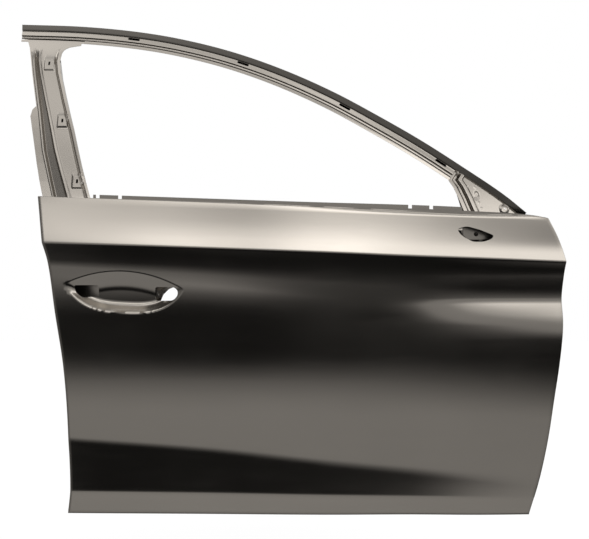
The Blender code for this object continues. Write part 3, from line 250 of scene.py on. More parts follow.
# Outer skin
skin = {
    "planRadius": 11.8,
    "sheet": 0.0008,
    "proud": 0.0010,  # how far the pressing stands out from the crease's datum
    "beltTop": ((-0.561, 0.160), (0.0, 0.140), (0.382, 0.1273), (0.530, 0.1167), (0.553, 0.1117)),
    "beltLip": ((-0.561, 0.001), (0.0, 0.003), (0.382, 0.008), (0.530, 0.003), (0.553, 0.001)),
    "lipStep": 0.0018,
    "lipRun": 0.0018,
    "lipEnds": (0.158, 0.1117),
    "stations": (-0.545, -0.18, 0.08, 0.25, 0.40, 0.580),
    "beltTilt": (11.0, 8.0, 8.5, 8.5, 7.0, 6.5),
    # each feature line from the belt down: heights at the stations, then tilts in degrees
    "lines": (
        ((0.115, 0.106, 0.101, 0.098, 0.095, 0.09), (12.5, 9.5, 10.0, 9.5, 7.5, 4.5)),
        ((0.085, 0.075, 0.068, 0.066, 0.064, 0.062), (13.0, 13.5, 13.5, 12.5, 10.0, 5.0)),
        ((0.069, 0.058, 0.049, 0.045, 0.041, 0.037), (12.5, 16.0, 15.5, 15.5, 16.0, 16.5)),
        ((0.059, 0.0464, 0.037, 0.03, 0.0242, 0.017), (11.5, 15.5, 15.5, 16.0, 16.5, 18.0)),
        ((0.059, 0.0464, 0.037, 0.03, 0.0242, 0.017), (-11.0, -19.0, -17.0, -15.0, -21.0, -26.0)),
        ((0.022, 0.008, -0.006, -0.01, -0.012, -0.012), (-8.5, -9.5, -9.0, -8.5, -7.5, -7.0)),
        ((0.008, -0.012, -0.03, -0.036, -0.04, -0.04), (-3.8, -4.5, -6.5, -7.0, -9.0, -11.0)),
        ((-0.012, -0.036, -0.06, -0.062, -0.062, -0.062), (-3.8, -2.2, -6.2, -6.0, -4.0, -4.0)),
        ((-0.03, -0.056, -0.078, -0.0765, -0.0745, -0.0745), (-4.2, -5.0, -6.5, -4.0, 12.5, 15.5)),
        ((-0.06, -0.08, -0.1, -0.098, -0.098, -0.1), (-6.0, -7.5, -6.8, -5.5, 6.0, 13.0)),
        ((-0.1, -0.105, -0.12, -0.121, -0.122, -0.124), (-8.5, -9.5, -6.8, -6.0, -3.0, 2.5)),
        ((-0.165, -0.168, -0.17, -0.162, -0.155, -0.152), (-8.0, -9.0, -6.8, -6.2, -6.5, -6.5)),
        ((-0.19, -0.19, -0.19, -0.19, -0.19, -0.19), (-6.3, -7.0, -6.2, -6.0, -7.0, -8.0)),
        ((-0.243, -0.244, -0.246, -0.25, -0.256, -0.266), (-1.3, -1.3, -1.3, -1.5, -1.8, -2.2)),
        ((-0.308, -0.314, -0.318, -0.322, -0.325, -0.328), (3.0, 3.0, 3.0, 2.8, 2.5, 2.0)),
        ((-0.362, -0.386, -0.411, -0.425, -0.437, -0.451), (3.0, 3.5, 4.0, 4.0, 4.0, 4.0)),
        ((-0.378, -0.405, -0.432, -0.448, -0.461, -0.479), (-7.0, -6.0, -4.0, -2.5, 1.5, 5.0)),
        ((-0.487, -0.4895, -0.4925, -0.494, -0.495, -0.4955), (-5.5, -4.0, -2.5, -0.5, 3.5, 6.0)),
        ((-0.487, -0.4895, -0.4925, -0.494, -0.495, -0.4955), (10.0, 10.0, 10.0, 9.5, 9.0, 8.0)),
        ((-0.5345, -0.534, -0.5335, -0.532, -0.531, -0.5296), (10.0, 10.0, 10.0, 9.5, 9.0, 8.0)),
    ),
    "creaseRadius": 0.0032,
    "sillRadius": 0.004,
    "rearUpper": ((0.059, -0.547), (0.160, -0.561)),
    "rearLower": ((-0.535, -0.497), (-0.487, -0.494), (-0.376, -0.4955), (-0.209, -0.508),
                  (-0.104, -0.521), (0.020, -0.5365), (0.059, -0.547)),
    "frontUpper": ((0.017, 0.589), (0.044, 0.5825), (0.073, 0.572), (0.112, 0.553)),
    "frontLower": ((-0.530, 0.508), (-0.465, 0.530), (-0.377, 0.5515), (-0.2765, 0.568), (-0.2095, 0.577),
                   (-0.116, 0.583), (-0.0605, 0.5825), (-0.032, 0.584), (0.017, 0.589)),
    "foldRadius": 0.00195,
    "foldReturn": 0.009,
    "punch": (-0.02, 0.09),
    "columns": ((-0.547, -0.505, 7), (-0.505, -0.235, 120), (-0.235, 0.589, 118)),  # finer at the bowl
}
creaseRow = 4  # this row of a section has the slope above the crease, the next one that below it
sillRow = 18  # the same at the sill
bowl = {
    "rearTip": (-0.4986, -0.0315),
    "frontTip": (-0.2412, -0.0432),
    "rise": 0.0335,
    "drop": 0.057,
    "upperWall": 0.042,
    "lowerWall": 0.024,
    "depth": 0.0205,
    "rim": 0.0026,
    "rearHole": ((-0.480, -0.034), (-0.428, -0.034), (-0.428, -0.0595), (-0.464, -0.0605),
                 (-0.477, -0.049)),
    "rearCorner": 0.005,
    "frontHole": ((-0.304, -0.038), (-0.262, -0.038), (-0.253, -0.046), (-0.254, -0.058),
                  (-0.264, -0.0675), (-0.304, -0.0685)),
    "frontCorner": 0.007,
}
mirror = {
    "hole": ((0.352, 0.088), (0.373, 0.0943), (0.403, 0.086), (0.433, 0.074), (0.427, 0.066),
             (0.410, 0.060), (0.385, 0.060), (0.361, 0.074)),
    "corner": 0.008,
}


def bow(x):
    return x * x / (2 * skin["planRadius"])


def beltTop(x):
    return smooth(skin["beltTop"], x)


sectionCache = {}


def sectionAt(x):
    key = round(x, 5)
    if key not in sectionCache:
        stations = skin["stations"]
        rows = [(beltTop(x) - smooth(skin["beltLip"], x),
                 math.tan(math.radians(smooth(tuple(zip(stations, skin["beltTilt"])), x))))]
        for heights, tilts in skin["lines"]:
            rows.append((smooth(tuple(zip(stations, heights)), x),
                         math.tan(math.radians(smooth(tuple(zip(stations, tilts)), x)))))
        sectionCache[key] = rows
    return sectionCache[key]


def fillet(z, kink, above, below, radius):
    # what a rounded crease adds to a sharp one
    dz = z - kink
    if abs(dz) >= radius:
        return 0.0
    sharp = above * dz if dz > 0 else below * dz
    return (above + below) / 2 * dz + (above - below) / (4 * radius) * (dz * dz + radius * radius) - sharp


def skinDepth(x, z):
    rows = sectionAt(x)
    crease = rows[creaseRow][0]
    extra = 0.0
    for row, radius in ((creaseRow, skin["creaseRadius"]), (sillRow, skin["sillRadius"])):
        extra += fillet(z, rows[row][0], rows[row][1], rows[row + 1][1], radius)
    depth = bow(x) - skin["proud"]
    if z >= crease:
        pairs = list(zip(rows[creaseRow::-1], rows[creaseRow - 1::-1]))
    else:
        pairs = list(zip(rows[creaseRow + 1:], rows[creaseRow + 2:]))
    for (z0, s0), (z1, s1) in pairs:
        if z1 == z0:
            continue
        share = (z - z0) / (z1 - z0)
        if share <= 1.0:
            return depth + (s0 + s0 + (s1 - s0) * share) / 2 * (z - z0) + extra
        depth += (s0 + s1) / 2 * (z1 - z0)
    if z > rows[0][0]:
        return depth + skin["lipStep"] * ease((z - rows[0][0]) / skin["lipRun"])
    return depth + rows[-1][1] * (z - rows[-1][0])


def bowlLimits(x):
    rear = bowl["rearTip"]
    front = bowl["frontTip"]
    share = min(abs((2 * x - rear[0] - front[0]) / (front[0] - rear[0])), 1.0)
    chord = straight((rear, front), x)
    return chord - bowl["drop"] * (1 - share**3) ** 0.85, chord + bowl["rise"] * (1 - share**2) ** 0.95


def bowlWall(distance, wall):
    # how far a wall has gone down: a tight rim, a straight slope and a round foot
    t = clamp(distance / wall)
    rim = ease(distance / bowl["rim"])
    down = t if t < 0.5 else 0.5 + math.sin((t - 0.5) * math.pi) / math.pi
    return down / (0.5 + 1 / math.pi) * (0.4 + 0.6 * rim)


def dressedDepth(x, z):
    low, high = bowlLimits(x)
    if low < z < high:
        down = bowlWall(high - z, bowl["upperWall"]) * bowlWall(z - low, bowl["lowerWall"])
        return skinDepth(x, z) + bowl["depth"] * down
    return skinDepth(x, z)


def edgeX(front, z, above):
    side = ("front" if front else "rear") + ("Upper" if above else "Lower")
    return smooth(skin[side], z)


def skinRows():
    # rows as (line, share), closer together at the belt, the crease, the handle bowl and the lower swage
    counts = (3, 3, 3, 3, 0, 6, 9, 12, 10, 12, 12, 10, 6, 8, 9, 9, 7, 10, 0, 8)
    rows = []
    for line, count in enumerate(counts):
        rows += [(line, i / count) for i in range(count)]
    rows += [(creaseRow - 1, 1 - s) for s in (0.22, 0.14, 0.07)] + [(creaseRow + 1, s) for s in (0.04, 0.09)]
    rows += [(sillRow - 1, 1 - s) for s in (0.08, 0.04)] + [(sillRow + 1, s) for s in (0.04, 0.08)]
    rows.append((len(skin["lines"]), 0.0))
    return sorted(set(rows))


def rowZ(row, x):
    line, share = row
    section = sectionAt(x)
    if share == 0.0:
        return section[line][0]
    return section[line][0] * (1 - share) + section[line + 1][0] * share


def buildSkin():
    rows = skinRows()
    lip = [(0.0, s) for s in (1.0, 0.7, 0.45, 0.3, 0.2, 0.1)]  # rows of the lip above the belt line
    fold = [(skin["foldRadius"] * (1 - math.sin(a)), skin["foldRadius"] * (1 - math.cos(a)))
            for a in spaced(0.0, math.pi, 6)] + [(skin["foldReturn"], 2 * skin["foldRadius"])]
    folds = len(fold) - 1
    xs = [skin["columns"][0][0]]
    for start, end, count in skin["columns"]:
        xs += spaced(start, end, count)[1:]
    shares = [(x - xs[0]) / (xs[-1] - xs[0]) for x in xs]
    columns = len(shares) - 1 + 2 * folds
    allRows = len(lip) + len(rows) - 1 + folds

    def border(row, front):
        above = row[0] < creaseRow
        x = skin["stations"][-1 if front else 0]
        for _ in range(5):
            z = rowZ(row, x)
            x = edgeX(front, z, above)
        return x

    ends = [(border(row, False), border(row, True)) for row in rows]

    def point(i, j):
        k = i - folds
        if j < len(lip):
            rear, front = edgeX(False, skin["lipEnds"][0], True), edgeX(True, skin["lipEnds"][1], True)
            row = None
        else:
            row = rows[min(j - len(lip), len(rows) - 1)]
            rear, front = ends[min(j - len(lip), len(rows) - 1)]
        down = max(0, j - len(lip) - len(rows) + 1)
        lift, foldDepth = fold[down]
        share = shares[int(clamp(k, 0, len(shares) - 1))]
        side = -k if k < 0 else (k - len(shares) + 1 if k > len(shares) - 1 else 0)
        inset, sideDepth = fold[side]
        radius = skin["foldRadius"]
        if k <= 0:
            x = rear + inset
        elif k >= len(shares) - 1:
            x = front - inset
        else:
            x = rear + radius + (front - rear - 2 * radius) * share
        if row is None:
            line = sectionAt(x)[0][0]
            z = line + (beltTop(x) - line) * lip[j][1]
        else:
            z = rowZ(row, x)
        if j - len(lip) >= len(rows) - 1:
            z += lift
        elif row and row[0] > sillRow:
            z += radius * ((j - len(lip)) / (len(rows) - 1)) ** 12
        return x, dressedDepth(x, z) + max(foldDepth, sideDepth), z

    def keep(i, j):
        # the hem's return is cut away where two folds would meet in a corner
        rounds = max(folds - 4 - i, i - (len(shares) + folds) - 2)
        return not (rounds >= 0 and j - len(lip) - len(rows) >= 2)

    obj = pressedGrid("outerSkin", columns, allRows, point, keep)
    thicken(obj, skin["sheet"])
    holes = ((bowl["rearHole"], bowl["rearCorner"]), (bowl["frontHole"], bowl["frontCorner"]),
             (mirror["hole"], mirror["corner"]))
    punchOut(obj, [punch("skinPunch", roundedOutline(*hole), *skin["punch"]) for hole in holes])
    return finishSmooth(obj, 40)


outerSkin = buildSkin()
place(outerSkin, "outer_skin")
print("stage 2: outer skin", len(outerSkin.data.polygons))


# Window frame
frameShape = {
    "base": 0.050,
    "lean": 0.29,
    "curve": 0.252,
    "sheet": 0.0012,
    "roofEdge": ((-0.646, 0.581), (-0.499, 0.574), (-0.365, 0.559), (-0.269, 0.541), (-0.148, 0.508),
                 (-0.029, 0.463), (0.088, 0.407), (0.194, 0.346), (0.285, 0.290), (0.375, 0.229),
                 (0.465, 0.165), (0.512, 0.125)),
}
rail = {
    "profile": ((0.0, -0.004), (0.013, 0.0045), (0.0145, 0.008), (0.0255, 0.008), (0.027, 0.013),
                (0.032, 0.014), (0.034, 0.010), (0.041, 0.011)),
    "corner": 0.0014,
    "step": 0.009,
    "flangeStart": -0.500,
    "joint": 0.366,
    "slots": (-0.373, -0.115, 0.122, 0.337),
    "slotSize": (0.028, 0.0055),
    "slotDistance": 0.018,
    "slotCorner": 0.0024,
    "jointFrom": 0.0129,
    "flangeFrom": 0.0325,
    "division": 0.003,
}


def frameDepth(x, z):
    height = max(z - beltTop(x), 0.0)
    return frameShape["base"] + bow(x) + frameShape["lean"] * height + frameShape["curve"] * height * height


roofPath = pathThrough(frameShape["roofEdge"], rail["step"])


def buildRail():
    line = divided(roundedLine(rail["profile"], rail["corner"]), rail["division"])
    runs = [offsetPath(roofPath, p.x) for p in line]

    def point(i, j):
        x, z = runs[j][i]
        return x, frameDepth(x, z) + line[j].y, z

    def keep(i, j):
        pastJoint = roofPath[i][0] > rail["joint"] and line[j].x > rail["jointFrom"]
        beforeFlange = roofPath[i][0] < rail["flangeStart"] and line[j].x > rail["flangeFrom"]
        return not pastJoint and not beforeFlange

    obj = pressedGrid("roofRail", len(roofPath) - 1, len(line) - 1, point, keep)
    thicken(obj, frameShape["sheet"])
    tools = []
    for x in rail["slots"]:
        near = min(range(len(roofPath) - 1), key=lambda i: abs(roofPath[i][0] - x))
        a, b = Vector(roofPath[near]), Vector(roofPath[near + 1])
        along = (b - a).normalized()
        across = Vector((along.y, -along.x))
        centre = a + across * rail["slotDistance"]
        half = rail["slotSize"][0] / 2, rail["slotSize"][1] / 2
        corners = [tuple(centre + along * u + across * v) for u, v in box((0.0, 0.0), half)]
        depth = frameDepth(*centre)
        outline = roundedOutline(corners, rail["slotCorner"])
        tools.append(punch("slotPunch", outline, depth - 0.01, depth + 0.03))
    punchOut(obj, tools)
    return finishSmooth(obj, 50)


roofRail = buildRail()
place(roofRail, "roof_rail_outer")
print("stage 3: roof rail", len(roofRail.data.polygons))

pillar = {
    "edge": ((0.155, -0.538), (0.268, -0.571), (0.359, -0.588), (0.458, -0.610), (0.523, -0.623),
             (0.544, -0.632)),
    "window": ((0.155, -0.451), (0.226, -0.474), (0.315, -0.499), (0.383, -0.521), (0.457, -0.543),
               (0.486, -0.548), (0.508, -0.545), (0.517, -0.5385), (0.522, -0.528), (0.5265, -0.502)),
    # the pressed bands: share of the width at the foot, the same at the top, and depth
    "bands": ((0.0, 0.0, 0.006), (0.03, 0.04, 0.006), (0.055, 0.08, 0.0), (0.08, 0.14, 0.002),
              (0.12, 0.17, 0.0115), (0.38, 0.25, 0.0088), (0.44, 0.29, 0.0), (0.50, 0.34, 0.001),
              (0.53, 0.37, 0.0038), (0.84, 0.82, 0.006), (0.88, 0.86, 0.010), (0.93, 0.90, 0.007),
              (1.0, 1.0, 0.007)),
    "width": 0.078,
    "corner": 0.0011,
    "division": 0.0017,
    "topHeights": (0.495, 0.500, 0.505, 0.510, 0.514, 0.518, 0.522, 0.5265),
    "topEdge": (0.537, -0.5012),  # height of the rear end and x of the window end
    "railGap": 0.0006,
    "foot": 0.155,
    "bandTop": 0.490,
    "fade": 0.030,
    "plateDepth": 0.005,
    "clips": ((-0.571, 0.480), (-0.527, 0.338), (-0.483, 0.196)),
    "clipHalf": (0.0100, 0.014),
    "clipRaise": 0.004,
    "clipWall": 0.0020,
    "clipHole": (0.0022, 0.0045),
    "clipCorner": 0.0012,
}


def clipRaise(x, z):
    for cx, cz in pillar["clips"]:
        out = max(abs(x - cx) - pillar["clipHalf"][0], abs(z - cz) - pillar["clipHalf"][1])
        if out < pillar["clipWall"]:
            return pillar["clipRaise"] * ease(1 - out / pillar["clipWall"])
    return 0.0


def buildPillar():
    width = pillar["width"]
    flat = [(a * width, b * width, d) for a, b, d in pillar["bands"]]
    line = divided(roundedLine(flat, pillar["corner"]), pillar["division"])
    heights = spaced(pillar["foot"], pillar["bandTop"], 110) + list(pillar["topHeights"])
    under = sorted(offsetPath(roofPath, rail["profile"][-1][0] + pillar["railGap"]))

    def point(i, j):
        p = line[i]
        z = heights[min(j, len(heights) - 1)]
        rise = clamp((z - pillar["foot"]) / (pillar["bandTop"] - pillar["foot"]))
        share = (p.x + (p.y - p.x) * rise) / width
        rear = straight(pillar["edge"], z)
        x = rear + (straight(pillar["window"], z) - rear) * share
        if j == len(heights):
            rear = straight(pillar["edge"], pillar["topEdge"][0])
            x = rear + (pillar["topEdge"][1] - rear) * share
            z = straight(under, x)
        fade = ease((z - pillar["bandTop"]) / pillar["fade"])
        depth = p.z + (pillar["plateDepth"] - p.z) * fade
        return x, frameDepth(x, z) + depth - clipRaise(x, z), z

    obj = pressedGrid("pillarPanel", len(line) - 1, len(heights), point)
    thicken(obj, frameShape["sheet"])
    tools = []
    for clip in pillar["clips"]:
        depth = frameDepth(*clip)
        outline = roundedOutline(box(clip, pillar["clipHole"]), pillar["clipCorner"])
        tools.append(punch("clipPunch", outline, depth - 0.02, depth + 0.02))
    punchOut(obj, tools)
    return finishSmooth(obj, 50)


pillarPanel = buildPillar()
place(pillarPanel, "b_pillar_outer")
print("stage 4: rear pillar", len(pillarPanel.data.polygons))

sail = {
    "window": ((0.060, 0.412), (0.100, 0.392), (0.132, 0.375), (0.160, 0.3645), (0.185, 0.3535),
               (0.2005, 0.3435), (0.2245, 0.3597)),
    "foot": ((0.060, 0.485), (0.100, 0.497), (0.1235, 0.498)),
    "bands": ((0.0, 0.0115), (0.0085, 0.0115), (0.0105, 0.018), (0.0165, 0.018), (0.0215, 0.005),
              (0.0295, 0.005), (0.0325, 0.009)),
    "corner": 0.0012,
    "division": 0.0015,
    "heights": (0.060, 0.2243, 92),
    "plateColumns": 48,
    "underRail": 0.0020,
    "railFrom": 0.33,
    "leastWidth": 0.0005,
    "dome": (0.465, 0.133),
    "domeRadius": 0.0115,
    "domeFlat": 0.55,
    "domeRaise": 0.004,
    "domeHole": 0.0033,
    "hole": (0.388, 0.186),
    "holeHalf": (0.0025, 0.003),
    "dent": (0.405, 0.165),
    "dentHalf": (0.0055, 0.009),
    "dentDepth": 0.0015,
    "bumps": ((0.402, 0.183), (0.410, 0.148), (0.415, 0.135)),
    "bumpRadius": 0.0028,
    "bumpRaise": 0.0008,
}


def sailRelief(x, z):
    # the dome stands outboard, the dent lies inboard, and the bumps are small
    flat = sail["domeFlat"] * sail["domeRadius"]
    out = max(math.dist((x, z), sail["dome"]) - flat, 0.0) / (sail["domeRadius"] - flat)
    relief = -sail["domeRaise"] * ease(1 - out)
    dx, dz = x - sail["dent"][0], z - sail["dent"][1]
    out = math.hypot(dx / sail["dentHalf"][0], dz / sail["dentHalf"][1])
    relief += sail["dentDepth"] * ease(1 - (out - 0.6) / 0.7)
    for bump in sail["bumps"]:
        relief -= sail["bumpRaise"] * ease(1 - math.dist((x, z), bump) / sail["bumpRadius"])
    return relief


def buildSail():
    line = divided(roundedLine(sail["bands"], sail["corner"]), sail["division"])
    edge = offsetPath(roofPath, rail["profile"][1][0] - sail["underRail"])
    under = sorted((z, x) for x, z in edge if x > sail["railFrom"])
    heights = spaced(*sail["heights"])
    columns = len(line) - 1 + sail["plateColumns"]
    footTop = sail["foot"][-1][0]

    def point(i, j):
        z = heights[len(heights) - 1 - j]
        left = straight(sail["window"], z)
        right = straight(under, z) if z > footTop else straight(sail["foot"], z)
        right = max(right, left + sail["leastWidth"])
        if i < len(line):
            x = min(left + line[i].x, right)
        else:
            start = min(left + line[-1].x, right)
            x = start + (right - start) * (i - len(line) + 1) / sail["plateColumns"]
        pressed = straight(sail["bands"], clamp(x - left, 0.0, sail["bands"][-1][0]))
        if i < len(line) and x == left + line[i].x:
            pressed = line[i].y
        return x, frameDepth(x, z) + pressed + sailRelief(x, z), z

    obj = pressedGrid("sailPanel", columns, len(heights) - 1, point)
    thicken(obj, frameShape["sheet"])
    depth = frameDepth(*sail["dome"])
    punchOut(obj, [punch("domePunch", ring(sail["dome"], sail["domeHole"]), depth - 0.02, depth + 0.02),
                   punch("squarePunch", box(sail["hole"], sail["holeHalf"]), depth - 0.02, depth + 0.04)])
    return finishSmooth(obj, 50)


sailPanel = buildSail()
place(sailPanel, "mirror_sail_outer")
print("stage 5: mirror triangle", len(sailPanel.data.polygons))


inner = {
    "depth": 0.100,
    "sheet": 0.0010,
    "behindSkin": 0.0013,
    "clearance": 0.0014,
    "topDrop": 0.008,
    "sill": -0.505,
    "footRadius": 0.004,
    "faceRadius": 0.009,
    "wallHeight": 0.095,
    "grid": (186, 110),
    "punch": (0.085, 0.14),
    "rearWall": ((-0.505, -0.4680), (-0.400, -0.4740), (-0.270, -0.4740), (-0.240, -0.484),
                 (-0.118, -0.484), (-0.090, -0.505), (0.160, -0.533)),
    "frontWall": ((-0.505, 0.487), (-0.465, 0.513), (-0.292, 0.513), (-0.265, 0.544), (-0.205, 0.544),
                  (-0.182, 0.554), (0.022, 0.554), (0.112, 0.527)),
    "serviceHole": (-0.305, 0.250, -0.400, -0.035),
    "serviceCorner": 0.060,
    "speaker": (0.370, -0.330, 0.080),
    "access": (-0.385, -0.300, 0.022),
    "rimWidth": 0.013,
    "rimRaise": 0.004,
    "rimSlope": 0.009,
    # raised beads: two ends, half width and height
    "beads": ((-0.40, 0.045, 0.44, 0.030, 0.010, 0.0045), (-0.36, -0.452, 0.22, -0.458, 0.009, 0.004),
              (-0.412, -0.235, -0.422, -0.030, 0.009, 0.004), (0.315, -0.020, 0.305, -0.200, 0.009, 0.004),
              (0.400, -0.020, 0.390, -0.190, 0.009, 0.004), (0.485, -0.020, 0.480, -0.180, 0.008, 0.004)),
    "clipHoles": ((-0.455, 0.080), (-0.445, -0.150), (-0.395, -0.400), (-0.200, -0.480), (0.040, -0.480),
                  (0.260, -0.480), (0.470, -0.440), (0.515, -0.100), (0.505, 0.060)),
    "clipRadius": 0.0042,
    "hinges": ((0.554, -0.036), (0.554, -0.092), (0.513, -0.336), (0.513, -0.392)),
    "boltRadius": 0.0055,
    "screwRadius": 0.0035,
    "faceMiddle": 0.080,
    "check": (0.544, -0.238),
    "checkHalf": (0.009, 0.011),
    "checkCorner": 0.003,
    "checkScrews": (-0.020, 0.020),
    "lock": (-0.484, 0.087, -0.170),
    "lockHalf": (0.011, 0.012),
    "lockCorner": 0.004,
    "lockScrews": ((0.062, -0.148), (0.062, -0.204), (0.098, -0.204)),
}


def capsule(x, z, bead):
    ax, az, bx, bz = bead[:4]
    share = clamp(((x - ax) * (bx - ax) + (z - az) * (bz - az)) / ((bx - ax) ** 2 + (bz - az) ** 2))
    return math.hypot(x - ax - (bx - ax) * share, z - az - (bz - az) * share)


def faceRaise(x, z):
    # how far the flat face stands in towards the cabin: rims round the holes, and beads
    left, right, low, high = inner["serviceHole"]
    corner = inner["serviceCorner"]
    dx = abs(x - (left + right) / 2) - (right - left) / 2 + corner
    dz = abs(z - (low + high) / 2) - (high - low) / 2 + corner
    toHole = math.hypot(max(dx, 0.0), max(dz, 0.0)) + min(max(dx, dz), 0.0) - corner
    near = min(toHole, math.dist((x, z), inner["speaker"][:2]) - inner["speaker"][2],
               math.dist((x, z), inner["access"][:2]) - inner["access"][2])
    raised = inner["rimRaise"] * ease(1 - (near - inner["rimWidth"]) / inner["rimSlope"])
    for bead in inner["beads"]:
        raised = max(raised, bead[5] * ease(1.35 - capsule(x, z, bead) / bead[4]))
    return raised


def wallProfile(radius, top, deep):
    # from the flange's edge to the face as (share of the flange, distance past the wall, height)
    steps = [(s, -radius, 0.0) for s in (0.0, 0.35, 0.7)]
    for turn in spaced(0.0, math.pi / 2, 4):
        steps.append((1.0, radius * (math.sin(turn) - 1), radius * (1 - math.cos(turn))))
    steps += [(1.0, 0.0, radius + (deep - radius - top) * s) for s in (0.12, 0.3, 0.5, 0.7, 0.88)]
    for turn in spaced(0.0, math.pi / 2, 5):
        steps.append((1.0, top * (1 - math.cos(turn)), deep - top * (1 - math.sin(turn))))
    return steps


def buildInnerPanel():
    wall = wallProfile(inner["footRadius"], inner["faceRadius"], inner["wallHeight"])
    faceColumns, faceRows = inner["grid"]
    sideCount = len(wall)
    columns = faceColumns + 2 * sideCount - 2
    rows = faceRows + sideCount - 1

    def across(i, z, above):
        # x and height over the flange for one column
        rear, front = straight(inner["rearWall"], z), straight(inner["frontWall"], z)
        top = inner["faceRadius"]
        if i < sideCount:
            share, past, height = wall[i]
            edge = edgeX(False, z, above) + inner["clearance"]
            x = edge + (rear - inner["footRadius"] - edge) * share if share < 1 else rear + past
            return x, height
        if i > columns - sideCount:
            share, past, height = wall[columns - i]
            edge = edgeX(True, z, above) - inner["clearance"]
            x = edge + (front + inner["footRadius"] - edge) * share if share < 1 else front - past
            return x, height
        share = (i - sideCount + 1) / faceColumns
        return rear + top + (front - rear - 2 * top) * share, 1.0

    def down(j, x):
        # z and height over the flange for one row
        high = beltTop(x) - inner["topDrop"]
        low = inner["sill"] + inner["faceRadius"]
        if j <= faceRows:
            return high + (low - high) * j / faceRows, 1.0
        share, past, height = wall[sideCount - 1 - (j - faceRows)]
        edge = sectionAt(x)[-1][0] + inner["clearance"]
        foot = inner["sill"] - inner["footRadius"]
        return (edge + (foot - edge) * share if share < 1 else inner["sill"] + past), height

    def point(i, j):
        x = 0.0
        for _ in range(4):
            z, rowHeight = down(j, x)
            crease = sectionAt(x)[creaseRow][0]
            x, columnHeight = across(i, z, z > crease)
        flange = skinDepth(x, z) + skin["proud"] + inner["behindSkin"]
        full = inner["depth"] + bow(x) - flange
        height = min(columnHeight, rowHeight)
        depth = flange + min(height / inner["wallHeight"], 1.0) * full
        if rowHeight == 1.0 and columnHeight == 1.0:
            depth += faceRaise(x, z)
        return x, depth, z

    obj = pressedGrid("innerPanel", columns, rows, point)
    thicken(obj, inner["sheet"])
    left, right, low, high = inner["serviceHole"]
    service = box(((left + right) / 2, (low + high) / 2), ((right - left) / 2, (high - low) / 2))
    faceHoles = [roundedOutline(service, inner["serviceCorner"]),
                 ring(inner["speaker"][:2], inner["speaker"][2], 48),
                 ring(inner["access"][:2], inner["access"][2])]
    faceHoles += [ring(hole, inner["clipRadius"], 16) for hole in inner["clipHoles"]]
    # the holes of the two shut faces, each with the face's x
    middle = inner["faceMiddle"]
    wallHoles = [(x, ring((middle, z), inner["boltRadius"], 20)) for x, z in inner["hinges"]]
    x, z = inner["check"]
    wallHoles.append((x, roundedOutline(box((middle, z), inner["checkHalf"]), inner["checkCorner"])))
    wallHoles += [(x, ring((middle + side, z), inner["screwRadius"], 16)) for side in inner["checkScrews"]]
    x, y, z = inner["lock"]
    wallHoles.append((x, roundedOutline(box((y, z), inner["lockHalf"]), inner["lockCorner"])))
    wallHoles += [(x, ring(screw, inner["screwRadius"], 16)) for screw in inner["lockScrews"]]
    tools = [punch("facePunch", outline, *inner["punch"]) for outline in faceHoles]
    tools += [punch("wallPunch", outline, x - 0.01, x + 0.01, "x") for x, outline in wallHoles]
    punchOut(obj, tools)
    return finishSmooth(obj, 40)


innerPanel = buildInnerPanel()
place(innerPanel, "inner_panel")
print("stage 6: inner panel", len(innerPanel.data.polygons))


# Materials
def newMaterial(name):
    material = bpy.data.materials.new(name)
    material.use_nodes = True
    nodes = material.node_tree.nodes
    return material, nodes, material.node_tree.links, nodes["Principled BSDF"]


def groupSocket(group, name, kind, default=None, out=False):
    socket = group.interface.new_socket(name=name, in_out="OUTPUT" if out else "INPUT", socket_type=kind)
    if default is not None:
        socket.default_value = default


def calc(tree, kind, a, b=None):
    node = tree.nodes.new("ShaderNodeMath")
    node.operation = kind
    for socket, value in zip(node.inputs, (a, b)):
        if isinstance(value, (int, float)):
            socket.default_value = value
        elif value is not None:
            tree.links.new(value, socket)
    return node.outputs[0]


def ranged(tree, value, ends, to=(0.0, 1.0), kind="LINEAR"):
    node = tree.nodes.new("ShaderNodeMapRange")
    node.interpolation_type = kind
    for key, number in zip(("From Min", "From Max", "To Min", "To Max"), (*ends, *to)):
        node.inputs[key].default_value = number
    tree.links.new(value, node.inputs["Value"])
    return node.outputs["Result"]


